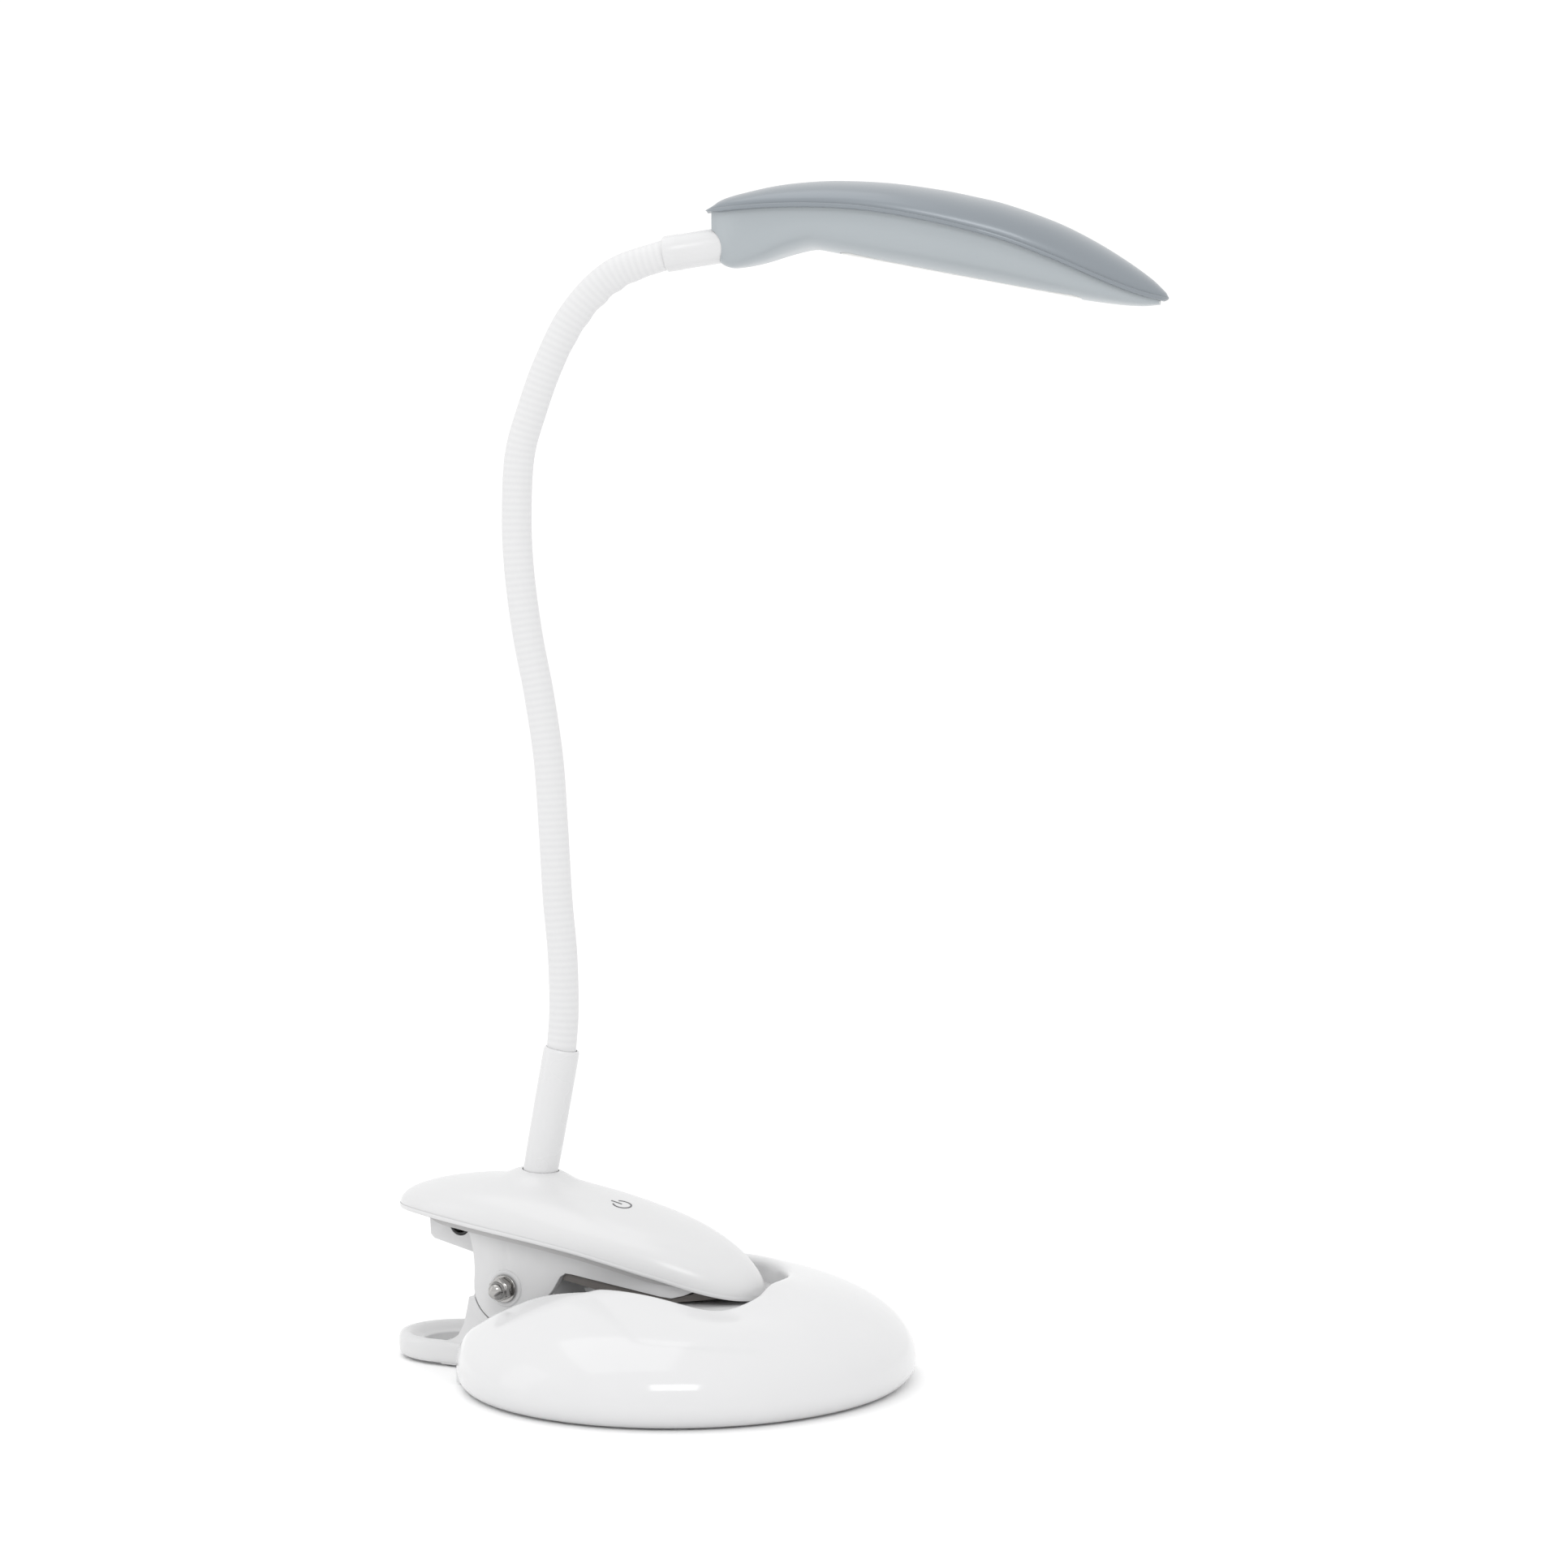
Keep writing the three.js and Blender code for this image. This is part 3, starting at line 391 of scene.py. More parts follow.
# A grid carried to place(u, v), with its seams and ends closed.
def spread(across, along, place):
    mesh = bmesh.new()
    bmesh.ops.create_grid(mesh, x_segments=across, y_segments=along, size=0.5)
    for vertex in mesh.verts:
        vertex.co = place(min(1, max(0, vertex.co.x + 0.5)), min(1, max(0, vertex.co.y + 0.5)))
    return tidyMesh(mesh)


# An outline given thickness: a plan outline rises along Z, a side outline runs along Y.
def slab(outline, low, high, side=False, weld=2e-6):
    mesh = bmesh.new()
    spots = [at(x, low, y) if side else at(x, y, low) for x, y in outline]
    face = mesh.faces.new([mesh.verts.new(spot) for spot in spots])
    grown = bmesh.ops.extrude_face_region(mesh, geom=[face])
    raised = [item for item in grown["geom"] if isinstance(item, bmesh.types.BMVert)]
    bmesh.ops.translate(mesh, verts=raised, vec=at(0, high - low, 0) if side else at(0, 0, high - low))
    return tidyMesh(mesh, weld)


def block(x0, x1, y0, y1, z0, z1):
    return slab([(x0, y0), (x1, y0), (x1, y1), (x0, y1)], z0, z1)


# A (radius, height) profile turned about an axis that starts at origin.
def turned(profile, origin, axis, steps=48):
    mesh = bmesh.new()
    verts = [mesh.verts.new(at(radius, 0, height)) for radius, height in profile]
    edges = [mesh.edges.new(pair) for pair in zip(verts, verts[1:])]
    bmesh.ops.spin(mesh, geom=verts + edges, cent=(0, 0, 0), axis=(0, 0, 1), angle=2 * math.pi,
                   steps=steps, use_merge=True, use_duplicate=False)
    turn = Vector((0, 0, 1)).rotation_difference(Vector(axis)).to_matrix().to_4x4()
    bmesh.ops.transform(mesh, matrix=Matrix.Translation(at(*origin)) @ turn, verts=mesh.verts)
    return tidyMesh(mesh)


def roundEdges(mesh, width, segments=3, sharpest=35):
    edges = [edge for edge in mesh.edges
             if edge.is_manifold and edge.calc_face_angle(0) > math.radians(sharpest)]
    bmesh.ops.bevel(mesh, geom=edges, offset=width * mm, offset_type="OFFSET", segments=segments,
                    affect="EDGES", profile=0.5, material=-1, clamp_overlap=True)
    return tidyMesh(mesh)


# Several meshes as islands of one.
def together(*meshes):
    whole = bmesh.new()
    for mesh in meshes:
        spare = bpy.data.meshes.new("spare")
        mesh.to_mesh(spare)
        mesh.free()
        whole.from_mesh(spare)
        bpy.data.meshes.remove(spare)
    return whole


def newObject(name, mesh):
    data = bpy.data.meshes.new(name)
    mesh.to_mesh(data)
    mesh.free()
    made = bpy.data.objects.new(name, data)
    bpy.context.scene.collection.objects.link(made)
    return made


# Cuts or joins whole meshes and hands back the result.
def combine(mesh, *tools, operation="DIFFERENCE"):
    body = newObject("body", mesh)
    for tool in tools:
        cutter = newObject("cutter", tool)
        change = body.modifiers.new("change", "BOOLEAN")
        change.operation = operation
        change.solver = "EXACT"
        change.object = cutter
        bpy.context.view_layer.update()
        done = bpy.data.meshes.new_from_object(body.evaluated_get(bpy.context.evaluated_depsgraph_get()))
        body.modifiers.clear()
        body.data = done
        bpy.data.objects.remove(cutter)
    result = bmesh.new()
    result.from_mesh(body.data)
    bpy.data.objects.remove(body)
    return result


# A finished piece: smooth shading with crisp corners, its material, its body and what it stands for.
def piece(name, mesh, look, body, stands=(), crease=38):
    made = newObject(name, mesh)
    made.data.materials.append(looks[look])
    for polygon in made.data.polygons:
        polygon.use_smooth = True
    made.data.set_sharp_from_angle(angle=math.radians(crease))
    if body:
        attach(made, body)
    if stands:
        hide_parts(*stands)
    return made


# Frames carried along a list of points without twisting, starting from a given side direction.
def framesAlong(points, side):
    frames = []
    for i, point in enumerate(points):
        ahead = points[min(i + 1, len(points) - 1)]
        behind = points[max(i - 1, 0)]
        tangent = (ahead - behind).normalized()
        side = (side - tangent * side.dot(tangent)).normalized()
        frames.append((point, side, tangent.cross(side)))
    return frames


def tube(points, side, sides, radiusAt):
    frames = framesAlong(points, side)

    def place(u, v):
        centre, first, second = frames[round(v * (len(frames) - 1))]
        angle = 2 * math.pi * u
        radius = radiusAt(v, angle) * mm
        return centre + first * radius * math.cos(angle) + second * radius * math.sin(angle)

    return spread(sides, len(points) - 1, place)


# A long cover with a skin: over the top, round one lip, back along the inside and round the other lip.
# The form gives its ends, half width, rim, outer and inner tops, lip, skin and the place of a point.
def lippedShell(form, across, along):
    middle, reach = (form["start"] + form["end"]) / 2, (form["end"] - form["start"]) / 2
    lip, skin, place = form["lip"], form["skin"], form["place"]
    around = 2 * across + 2 * len(lip) + 1

    def onLip(run, i, side):
        half, low, shrink = form["half"](run), form["rim"](run), form["shrink"](run)
        out, drop = lip[i]
        return place(run, side * max(0, half + out * shrink), low + drop * shrink)

    def onShell(u, v):
        run = middle - reach * math.cos(math.pi * v)
        half, low = form["half"](run), form["rim"](run)
        i = round(u * around)
        if i <= across:
            side = half * math.cos(math.pi * i / across)
            return place(run, side, form["top"](run, side))
        i -= across + 1
        if i < len(lip):
            return onLip(run, i, -1)
        i -= len(lip)
        if i <= across:
            inner = max(0, half - skin)
            side = -inner * math.cos(math.pi * i / across)
            ceiling = form["ceiling"](run, side * half / max(inner, 0.01)) - skin
            return place(run, side, max(low - form["tuck"], ceiling) if half > skin else low)
        i -= across + 1
        return onLip(run, len(lip) - 1 - i, 1) if i < len(lip) else place(run, half, low)

    return spread(around, along, onShell)


# Stand.
stand = dict(
    halfLength=76.4, halfWidth=81.9, waist=8, height=41.4, rim=0.6, edge=4.2,
    channelHalf=38.5, pocketHalf=36, centreX=-3.5, noseReach=36.6, tailX=-66.3,
    scoop=6.6, tongueFrom=-13, tongueLow=25.5, tongueTop=29.5, deckLow=12.6, deckTop=15, deckFrom=-58,
    plateTop=4.8, lip=2.6,
)


# A finger's hollow beside the nose pocket, deep on the near side and faint on the far side.
def scoop(x, y):
    away = math.hypot(x - stand["centreX"], y)
    turn = abs(math.degrees(math.atan2(y, x - stand["centreX"])))
    depth = stand["scoop"] * (1 if y < 0 else 0.12)
    spreadRound = math.exp(-((turn - 39) / 29) ** 2) * smoothStep(2, 16, turn)
    return depth * spreadRound * (1 - smoothStep(38, 72, away))


def domeHeight(x, y):
    inside = max(0, 1 - (x / stand["halfLength"]) ** 2 - (y / stand["halfWidth"]) ** 2)
    return stand["waist"] + (stand["height"] - stand["waist"]) * math.sqrt(inside) - scoop(x, y)


# A place on the top edge of the channel wall and the outward direction, from one tail lobe to the other.
def channelEdge(t):
    straight = stand["centreX"] - stand["tailX"]
    arc = math.pi * (stand["noseReach"] + stand["pocketHalf"]) / 2
    run = t * (2 * straight + arc)
    if straight <= run <= straight + arc:
        angle = math.pi * ((run - straight) / arc - 0.5)
        out = Vector((math.cos(angle), math.sin(angle)))
        spot = Vector((stand["centreX"] + stand["noseReach"] * out.x, stand["pocketHalf"] * out.y))
        return spot, out
    side = -1 if run < straight else 1
    x = stand["tailX"] + (run if side < 0 else 2 * straight + arc - run)
    step = smoothStep(stand["tongueFrom"] - 3, stand["tongueFrom"] + 1.5, x)
    half = stand["channelHalf"] + (stand["pocketHalf"] - stand["channelHalf"]) * step
    curl = min(1, max(0, (-60 - x) / 7))
    half += 4.5 * (1 - math.sqrt(1 - curl * curl))
    return Vector((x, side * half)), Vector((0, side))


def reachToRim(spot, out):
    a, b = stand["halfLength"], stand["halfWidth"]
    square = (out.x / a) ** 2 + (out.y / b) ** 2
    cross = spot.x * out.x / a ** 2 + spot.y * out.y / b ** 2
    rest = (spot.x / a) ** 2 + (spot.y / b) ** 2 - 1
    root = max(0, cross * cross - square * rest)
    return max(0.02, (math.sqrt(root) - cross) / square)


# The closed outline of the shell in one section: channel wall, rounded edge, dome, foot and recess.
def standSection(t):
    spot, out = channelEdge(t)
    reach = reachToRim(spot, out)
    soft = stand["edge"] + 4.4 * smoothStep(-28, -52, spot.x)
    edge = min(soft, reach * 0.45)
    lip = min(stand["lip"], reach * 0.25)
    rim, waist = stand["rim"], stand["waist"]

    def dome(distance):
        return domeHeight(*(spot + out * distance))

    corner = dome(0)
    profile = [(0, rim + (corner - edge - rim) * i / 10) for i in range(10)]
    for i in range(9):
        s = i / 8
        height = (1 - s) ** 2 * (corner - edge) + 2 * s * (1 - s) * corner + s * s * dome(edge)
        profile.append((s * s * edge, height))
    for i in range(1, 31):
        distance = edge + (reach - edge) * math.sin(math.pi / 2 * i / 30)
        profile.append((distance, dome(distance)))
    lowest = math.asin((waist - rim) / waist)
    for i in range(1, 9):
        angle = lowest * i / 8
        tuck = min(waist * (1 - math.cos(angle)), reach * 0.5)
        profile.append((reach - tuck, waist - waist * math.sin(angle)))
    foot = profile[-1][0]
    recess = stand["plateTop"]
    profile += [(foot - lip, rim), (foot - lip, recess), (lip, recess), (lip, rim), (0, rim)]
    return [at(*(spot + out * distance), height) for distance, height in profile]


def noseOutline(x0, half, reach, steps=40):
    outline = [(x0, half), (x0, -half)]
    for i in range(steps + 1):
        angle = math.pi * (i / steps - 0.5)
        outline.append((stand["centreX"] + reach * math.cos(angle), half * math.sin(angle)))
    return outline


def makeStand():
    stations = 150
    sections = [standSection(i / stations) for i in range(stations + 1)]
    last = len(sections[0]) - 1
    dome = spread(last, stations, lambda u, v: sections[round(v * stations)][round(u * last)])
    tongue = slab(noseOutline(stand["tongueFrom"], 36.6, 39.2), stand["tongueLow"], stand["tongueTop"])
    tongue = roundEdges(tongue, 0.9)
    deck = slab(noseOutline(stand["deckFrom"], 37.6, 39.6), stand["deckLow"], stand["deckTop"])
    tail, wall = stand["deckFrom"], 2.4
    sides = [block(tail, -12, y, y + wall, stand["deckLow"], stand["deckTop"]) for y in (-39.4, 37)]
    tailWall = block(tail, tail + wall, -39.6, 39.6, stand["rim"], stand["deckLow"] + 0.5)
    tailWall = roundEdges(tailWall, 0.5)
    slotEnd = block(20, 34, -26, 26, stand["deckTop"] - 1, stand["tongueLow"] + 1)
    slotSides = [block(-13, 30, y, y + 13, stand["deckTop"] - 1, stand["tongueLow"] + 1) for y in (-35, 22)]
    whole = together(dome, tongue, deck, *sides, tailWall, slotEnd, *slotSides)
    piece("standShell", whole, "standWhite", "stand",
          ["stand_shell", "stand_liner"], crease=45)


def notchedEllipse(halfX, halfY, notchX, notchHalf, steps=96):
    start = math.asin(notchHalf / halfY) - math.pi
    outline = [(notchX, notchHalf), (notchX, -notchHalf)]
    for i in range(steps + 1):
        angle = start - 2 * start * i / steps
        outline.append((halfX * math.cos(angle), halfY * math.sin(angle)))
    return outline


def makeFootPad():
    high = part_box("stand_foot_pad")[1]
    halfX, halfY = high[0] / mm, high[1] / mm + 0.1
    pad = slab(notchedEllipse(halfX, halfY, -53.6, 43), 0, high[2] / mm)
    pad = roundEdges(pad, 0.45, 3)
    piece("footPad", pad, "footRubber", "stand", ["stand_foot_pad"])


makeStand()
makeFootPad()
print("stand built")

# Lower jaw.
pivotX, pivotZ = -60, 29.5
lower = dict(
    halfWidth=19.5, inner=12.6, seam=16.2, lug=13.1, floorLow=15.6, floorTop=19.6,
    loopTail=-112, loopBend=-90, loopHalf=20.5, holeHalf=12.8, holeTail=13.5, loopLow=0.9,
    loopTop=9, arm=17, barWidth=7.7, tailWiden=0.8, slope=3,
)


def disc(x, z, radius, y0, y1, steps=64):
    return turned([(0, 0), (radius, 0), (radius, y1 - y0), (0, y1 - y0)], (x, y0, z), (0, 1, 0), steps)


# The finger loop: a rounded bar whose top slopes down to the hole behind a soft ridge.
def fingerLoop():
    middle = (lower["loopHalf"] + lower["holeHalf"]) / 2
    straight, width = lower["arm"], lower["barWidth"]
    reachOut = lower["loopBend"] - lower["loopTail"]
    arc = math.pi * (reachOut + middle) / 2
    height = lower["loopTop"] - lower["loopLow"]

    def place(u, v):
        run = v * (2 * straight + arc)
        if run < straight:
            out, bar = Vector((0, -1)), width
            centre = Vector((lower["loopBend"] + straight - run, -middle))
        elif run > straight + arc:
            out, bar = Vector((0, 1)), width
            centre = Vector((lower["loopBend"] + run - straight - arc, middle))
        else:
            angle = -math.pi / 2 - math.pi * (run - straight) / arc
            out = Vector((math.cos(angle), math.sin(angle)))
            bar = width + lower["tailWiden"] * out.x ** 2
            reach = (reachOut + lower["holeTail"]) / 2
            centre = Vector((lower["loopBend"] + reach * out.x, middle * out.y))
        angle = 2 * math.pi * u
        across = math.copysign(abs(math.cos(angle)) ** 0.5, math.cos(angle)) / 2
        up = math.copysign(abs(math.sin(angle)) ** 0.5, math.sin(angle)) / 2
        z = lower["loopLow"] + height * (up + 0.5)
        if up > 0:
            z -= lower["slope"] * smoothStep(0.22, -0.5, across) * up * 2
        spot = centre + out * (across * bar)
        return at(spot.x, spot.y, z)

    return spread(48, 120, place)


lowerSide = [
    (-86, 0.9), (-69.5, 0.9), (-66, 5.5), (-61, 15.6), (-30, 15.6), (-34, 20.6), (-46.5, 22.6), (-54, 36.5),
    (-66, 36.5), (-74.4, 26.2), (-75.4, 21), (-76.8, 15.5), (-79, 11.6), (-82.5, 9.2), (-86, 8.4),
]


def makeLowerJaw():
    half, seam = lower["halfWidth"], lower["seam"]
    side = slab(lowerSide, -half, half, side=True)
    cutters = [block(-120, 30, -lower["inner"], lower["inner"], -1, 60)]
    for y0, y1 in ((-30, -seam), (seam, 30)):
        cutters.append(disc(pivotX, pivotZ, lower["lug"], y0, y1))
        cutters.append(block(-90, -30, y0, y1, 25.2, 60))
    cutters.append(disc(pivotX, pivotZ, 2.3, -30, 30))
    side = roundEdges(combine(side, *cutters), 0.7, 3, 40)
    outline = [(-66, half), (-66, -half), (4, -half)]
    for y, start in ((-11.5, -90), (11.5, 0)):
        turns = [math.radians(start + 9 * i) for i in range(11)]
        outline += [(4 + 8 * math.cos(angle), y + 8 * math.sin(angle)) for angle in turns]
    floor = roundEdges(slab(outline, lower["floorLow"], lower["floorTop"], weld=1e-5), 0.8, 3)
    crossWall = roundEdges(block(-76, -72.5, -13.6, 13.6, lower["loopLow"], 12), 0.6)
    whole = together(side, floor, crossWall, fingerLoop())
    piece("lowerJaw", whole, "clipWhite", "lower_jaw", ["lower_jaw_frame"])


# The lower grip pad: cross ribs every 4 mm on its top face, which drops away at the pivot end.
def makeLowerPad():
    x0, x1, bottom, pitch, depth = -33, 9.5, 19.9, 4, 0.9

    def crest(x):
        return 25.2 - 1.2 * smoothStep(-26, x0, x)

    outline = [(x0, bottom), (x1, bottom), (x1, crest(x1))]
    for i in range(int((x1 - x0 - 3) / 0.5)):
        x = x1 - 1.5 - 0.5 * i
        groove = 0.5 - 0.5 * math.cos(2 * math.pi * (x1 - 1.5 - x) / pitch)
        outline.append((x, crest(x) - depth * groove))
    outline.append((x0, crest(x0)))
    pad = roundEdges(slab(outline, -15, 15, side=True), 0.35, 2, 50)
    piece("lowerPad", pad, "gripRubber", "lower_jaw", ["lower_jaw_pad"])


def hexagon(y0, y1, radius, turn):
    corners = []
    for i in range(6):
        angle = math.radians(60 * i + turn)
        corners.append((pivotX + radius * math.cos(angle), pivotZ + radius * math.sin(angle)))
    return slab(corners, y0, y1, side=True)


def makePivot():
    toNear = (0, -1, 0)
    face = -21.2
    seat = (pivotX, face, pivotZ)
    nut = hexagon(face - 3.2, face, 4.04, 30)
    cone = [(0, 0), (3.5, 0), (4.1, 0.45), (4.1, 2.75), (3.45, 3.2), (0, 3.2)]
    chamfer = turned(cone, seat, toNear)
    nut = combine(nut, chamfer, operation="INTERSECT")
    nut = roundEdges(nut, 0.08, 2, 25)
    cap = [(0, 2.8), (3.35, 2.8), (3.35, 3.35), (3.05, 3.6), (2.95, 3.9)]
    turns = [math.radians(9 * i) for i in range(10)]
    cap += [(2.95 * math.cos(turn), 4.0 + 2.75 * math.sin(turn)) for turn in turns]
    cap.append((0, 6.75))
    whole = together(nut, turned(cap, seat, toNear, 64))
    piece("capNut", whole, "polishedSteel", "lower_jaw", ["pivot_cap_nut"], 32)
    ring = [(2.3, 0), (4.6, 0), (4.7, 0.1), (4.7, 0.5), (4.55, 0.65), (2.3, 0.65), (2.3, 0)]
    washer = turned(ring, (pivotX, -20.35, pivotZ), toNear, 56)
    piece("pivotWasher", washer, "polishedSteel", "lower_jaw", ["pivot_washer"])
    shank = [(0, 0), (1.6, 0), (1.95, 0.4), (1.95, 44.8), (3.9, 44.8), (3.9, 46.3), (3.3, 46.9),
             (1.7, 47), (1.7, 46), (0, 46)]
    bar = turned(shank, (pivotX, -24.4, pivotZ), (0, 1, 0), 56)
    piece("pivotBolt", bar, "polishedSteel", "lower_jaw", ["pivot_bolt"])


spring = dict(wire=0.9, coil=5.2, turns=6, half=8.4, perTurn=26)


# The torsion spring: its near leg bears on the lower handle, its far leg on the tray above.
def makeSpring():
    points = []
    lowerLeg = [(-74.5, 11.2), (-72.6, 13.6), (-70, 17.2), (-67.2, 21.4)]
    for x, z in lowerLeg:
        points.append(at(x, -spring["half"], z))
    total = spring["turns"] * spring["perTurn"]
    for i in range(total + 1):
        angle = math.radians(208) + 2 * math.pi * i / spring["perTurn"]
        y = -spring["half"] + 2 * spring["half"] * i / total
        x, z = spring["coil"] * math.cos(angle), spring["coil"] * math.sin(angle)
        points.append(at(pivotX + x, y, pivotZ + z))
    y = spring["half"]
    for x, z in [(-66.4, 30.6), (-68.3, 34.5), (-70.4, 38.6), (-72.3, 42.2), (-73.6, 44.4)]:
        points.append(at(x, y + 0.6, z))
    coil = tube(points, Vector((0, 1, 0)), 12, lambda v, angle: spring["wire"])
    made = piece("jawSpring", coil, "springSteel", None,
                 ["jaw_spring_coil", "jaw_spring_upper_leg"])
    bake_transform(made)


makeLowerJaw()
makeLowerPad()
makePivot()
makeSpring()
print("lower jaw built")

# Upper jaw.
clip = dict(
    tailX=-112, noseX=28, halfWidth=27, power=2.6, skin=2,
    collarX=-57.9, collarZ=66, lean=10.26, yaw=18,
)
crestLine = lineThrough([
    (-112, 54.4), (-110.6, 56.3), (-107, 58.8), (-100, 61.3), (-90, 63.5), (-75, 65.3), (-58, 65.2),
    (-40, 62.9), (-22, 59.4), (-3, 54.4), (11, 48.4), (20, 42.4), (25.6, 36.8), (28, 32.6),
])
rimLine = lineThrough([
    (-112, 53.2), (-97, 53.4), (-80, 52.4), (-63, 50.7), (-44, 48.4), (-25, 45.4), (0, 39.6),
    (12.5, 35.8), (22, 33), (28, 31.6),
])


def clipHalfWidth(x):
    middle = (clip["tailX"] + clip["noseX"]) / 2
    t = min(1, abs(x - middle) / (clip["noseX"] - middle))
    return clip["halfWidth"] * math.sqrt(max(0, 1 - t ** clip["power"]))


def collarFlare(x, y):
    away = math.hypot(x - clip["collarX"], y)
    return 2.7 * math.exp(-((max(away, 6.5) - 6.5) / 5.2) ** 2)


# Height of the clip's top face.
def clipTop(x, y):
    half = max(0.01, clipHalfWidth(x))
    low = rimLine(x)
    rise = max(0.05, crestLine(x) - low) * min(1, half / 5)
    lift = max(0, 1 - (y / half) ** 2) ** 0.43
    return low + rise * lift


def clipShell():
    lip = [(0.3, 0.25), (0.45, -0.15), (0.4, -0.85), (0.05, -1.25), (-0.8, -1.3), (-1.6, -1.0),
           (-1.8, -0.4)]

    def topWithCollar(x, y):
        return clipTop(x, y) + collarFlare(x, y) * min(1, clipHalfWidth(x) / 10)

    form = dict(start=clip["tailX"], end=clip["noseX"], half=clipHalfWidth, rim=rimLine, top=topWithCollar,
                ceiling=clipTop, tuck=0.2, lip=lip, skin=clip["skin"], place=at,
                shrink=lambda x: min(1, clipHalfWidth(x) / 3))
    return lippedShell(form, 56, 150)


def collarAxis():
    lean, yaw = math.radians(clip["lean"]), math.radians(clip["yaw"])
    return Vector((math.sin(lean) * math.cos(yaw), math.sin(lean) * math.sin(yaw), math.cos(lean)))


def onCollar(reach):
    return Vector((clip["collarX"], 0, clip["collarZ"])) + collarAxis() * reach


def makeClipShell():
    bore = turned([(0, 0), (6.35, 0), (6.35, 26), (0, 26)], onCollar(-14), collarAxis(), 72)
    shell = combine(clipShell(), bore)
    piece("clipShell", shell, "clipWhite", "upper_jaw", ["jaw_top_shell"], crease=50)


icon = dict(x=-22.3, y=-5.2, radius=3.1, stroke=0.5, gap=38)


# A printed power mark: a broken ring and a bar through the break, lying just proud of the clip.
def makeIcon():
    corners = [(-1, 0), (-1, 1), (1, 1), (1, 0), (-1, 0)]

    def lifted(x, y, top):
        return at(x, y, clipTop(x, y) + (0.14 if top else -0.3))

    def ring(u, v):
        angle = math.radians(180 + icon["gap"] + (360 - 2 * icon["gap"]) * v)
        corner = corners[round(u * 4)]
        radius = icon["radius"] + icon["stroke"] / 2 * corner[0]
        return lifted(icon["x"] + radius * math.cos(angle), icon["y"] + radius * math.sin(angle), corner[1])

    def bar(u, v):
        corner = corners[round(u * 4)]
        x = icon["x"] - icon["radius"] * (0.05 + 1.3 * v)
        return lifted(x, icon["y"] + icon["stroke"] / 2 * corner[0], corner[1])

    mark = together(spread(4, 64, ring), spread(4, 16, bar))
    piece("powerIcon", mark, "iconInk", "upper_jaw")


tray = dict(half=19.5, inner=16.5, faceY=-13, jackX=-82.2, jackZ=48.8)


def trayBottom(x):
    return 36.9 - 0.13 * (x + 37)


def trayOutline():
    outline = []
    for i in range(9):
        s = i / 8
        x = (1 - s) ** 2 * -75.8 + 2 * s * (1 - s) * -71.6 + s * s * -72.65
        z = (1 - s) ** 2 * 51 + 2 * s * (1 - s) * 40 + s * s * 31
        outline.append((x, z))
    for i in range(1, 25):
        angle = math.radians(180 + 6.6 * i)
        outline.append((pivotX + 12.7 * math.cos(angle), pivotZ + 12.7 * math.sin(angle)))
    outline += [(-43.6, 27.8), (-41.2, 30.6), (-38.4, 35.2), (-36.4, 36.6), (-34, trayBottom(-34)),
                (4, trayBottom(4)), (8, 32.6), (11, 34)]
    for i in range(18):
        x = 11 - 5 * i
        outline.append((x, rimLine(x) + 0.5))
    return outline


# The recessed seam under the lip of the clip: a band set in from the rim and the flat underside it closes.
# Its darker grey is painted shade under the lip.
def trayDeck():
    x0, x1 = clip["tailX"] + 3.2, clip["noseX"] - 3.6

    def place(u, v):
        x = (x0 + x1) / 2 - (x1 - x0) / 2 * math.cos(math.pi * v)
        half = max(0.02, clipHalfWidth(x) - 2.9) * min(1, 14 * v, 14 * (1 - v))
        low, i = rimLine(x), round(u * 30)
        under = low - 0.6 - 2.9 * (1 - smoothStep(-4, 18, x)) * smoothStep(-100, -84, x)
        if i <= 14:
            return at(x, half * math.cos(math.pi * i / 14), under)
        if i <= 15:
            return at(x, -half, low + 0.9)
        if i <= 29:
            return at(x, -half * math.cos(math.pi * (i - 15) / 14), low + 1.5)
        return at(x, half, under)

    return spread(30, 90, place)


def planCutter(inset):
    outline = []
    middle, reach = (clip["tailX"] + clip["noseX"]) / 2, (clip["noseX"] - clip["tailX"]) / 2 - inset
    for i in range(96):
        angle = 2 * math.pi * i / 96
        x = middle + reach * math.cos(angle)
        half = max(0.3, clipHalfWidth(x) - inset * min(1, 3 * abs(math.sin(angle))))
        outline.append((x, math.copysign(half, math.sin(angle))))
    return slab(outline, 0, 90, weld=1e-6)


def jackBlock():
    side = [(-94.5, 52), (-94, 44.4), (-92.6, 43), (-76.6, 39.4), (-74, 39.4), (-74, 52)]
    body = slab(side, tray["faceY"], 13, side=True)
    socket = disc(tray["jackX"], tray["jackZ"], 4.1, -40, 0)
    return roundEdges(combine(body, socket), 0.5, 3, 40)


def makeTray():
    half, inner = tray["half"], tray["inner"]
    body = slab(trayOutline(), -half, half, side=True)
    body = combine(body, planCutter(3.6), operation="INTERSECT")
    tools = [block(-90, -38.5, -inner, inner, 0, 46), disc(pivotX, pivotZ, 2.3, -30, 30)]
    body = combine(body, *tools)
    body = roundEdges(body, 0.8, 3, 40)
    bosses = []
    for face, direction in ((-19.3, -1), (19.3, 1)):
        ring = [(2.35, -1), (6.5, -1), (6.4, 0.35), (6.0, 0.75), (5.2, 0.8), (4.9, 0.6), (2.35, 0.6),
                (2.35, -1)]
        bosses.append(turned(ring, (pivotX, face, pivotZ), (0, direction, 0), 64))
    whole = together(body, jackBlock(), *bosses)
    piece("clipTray", whole, "clipWhite", "upper_jaw", ["jaw_tray"])
    # the seam band's grey material is painted shade under the lip
    piece("traySeamPaintedShade", trayDeck(), "seamPaintedShade", "upper_jaw")


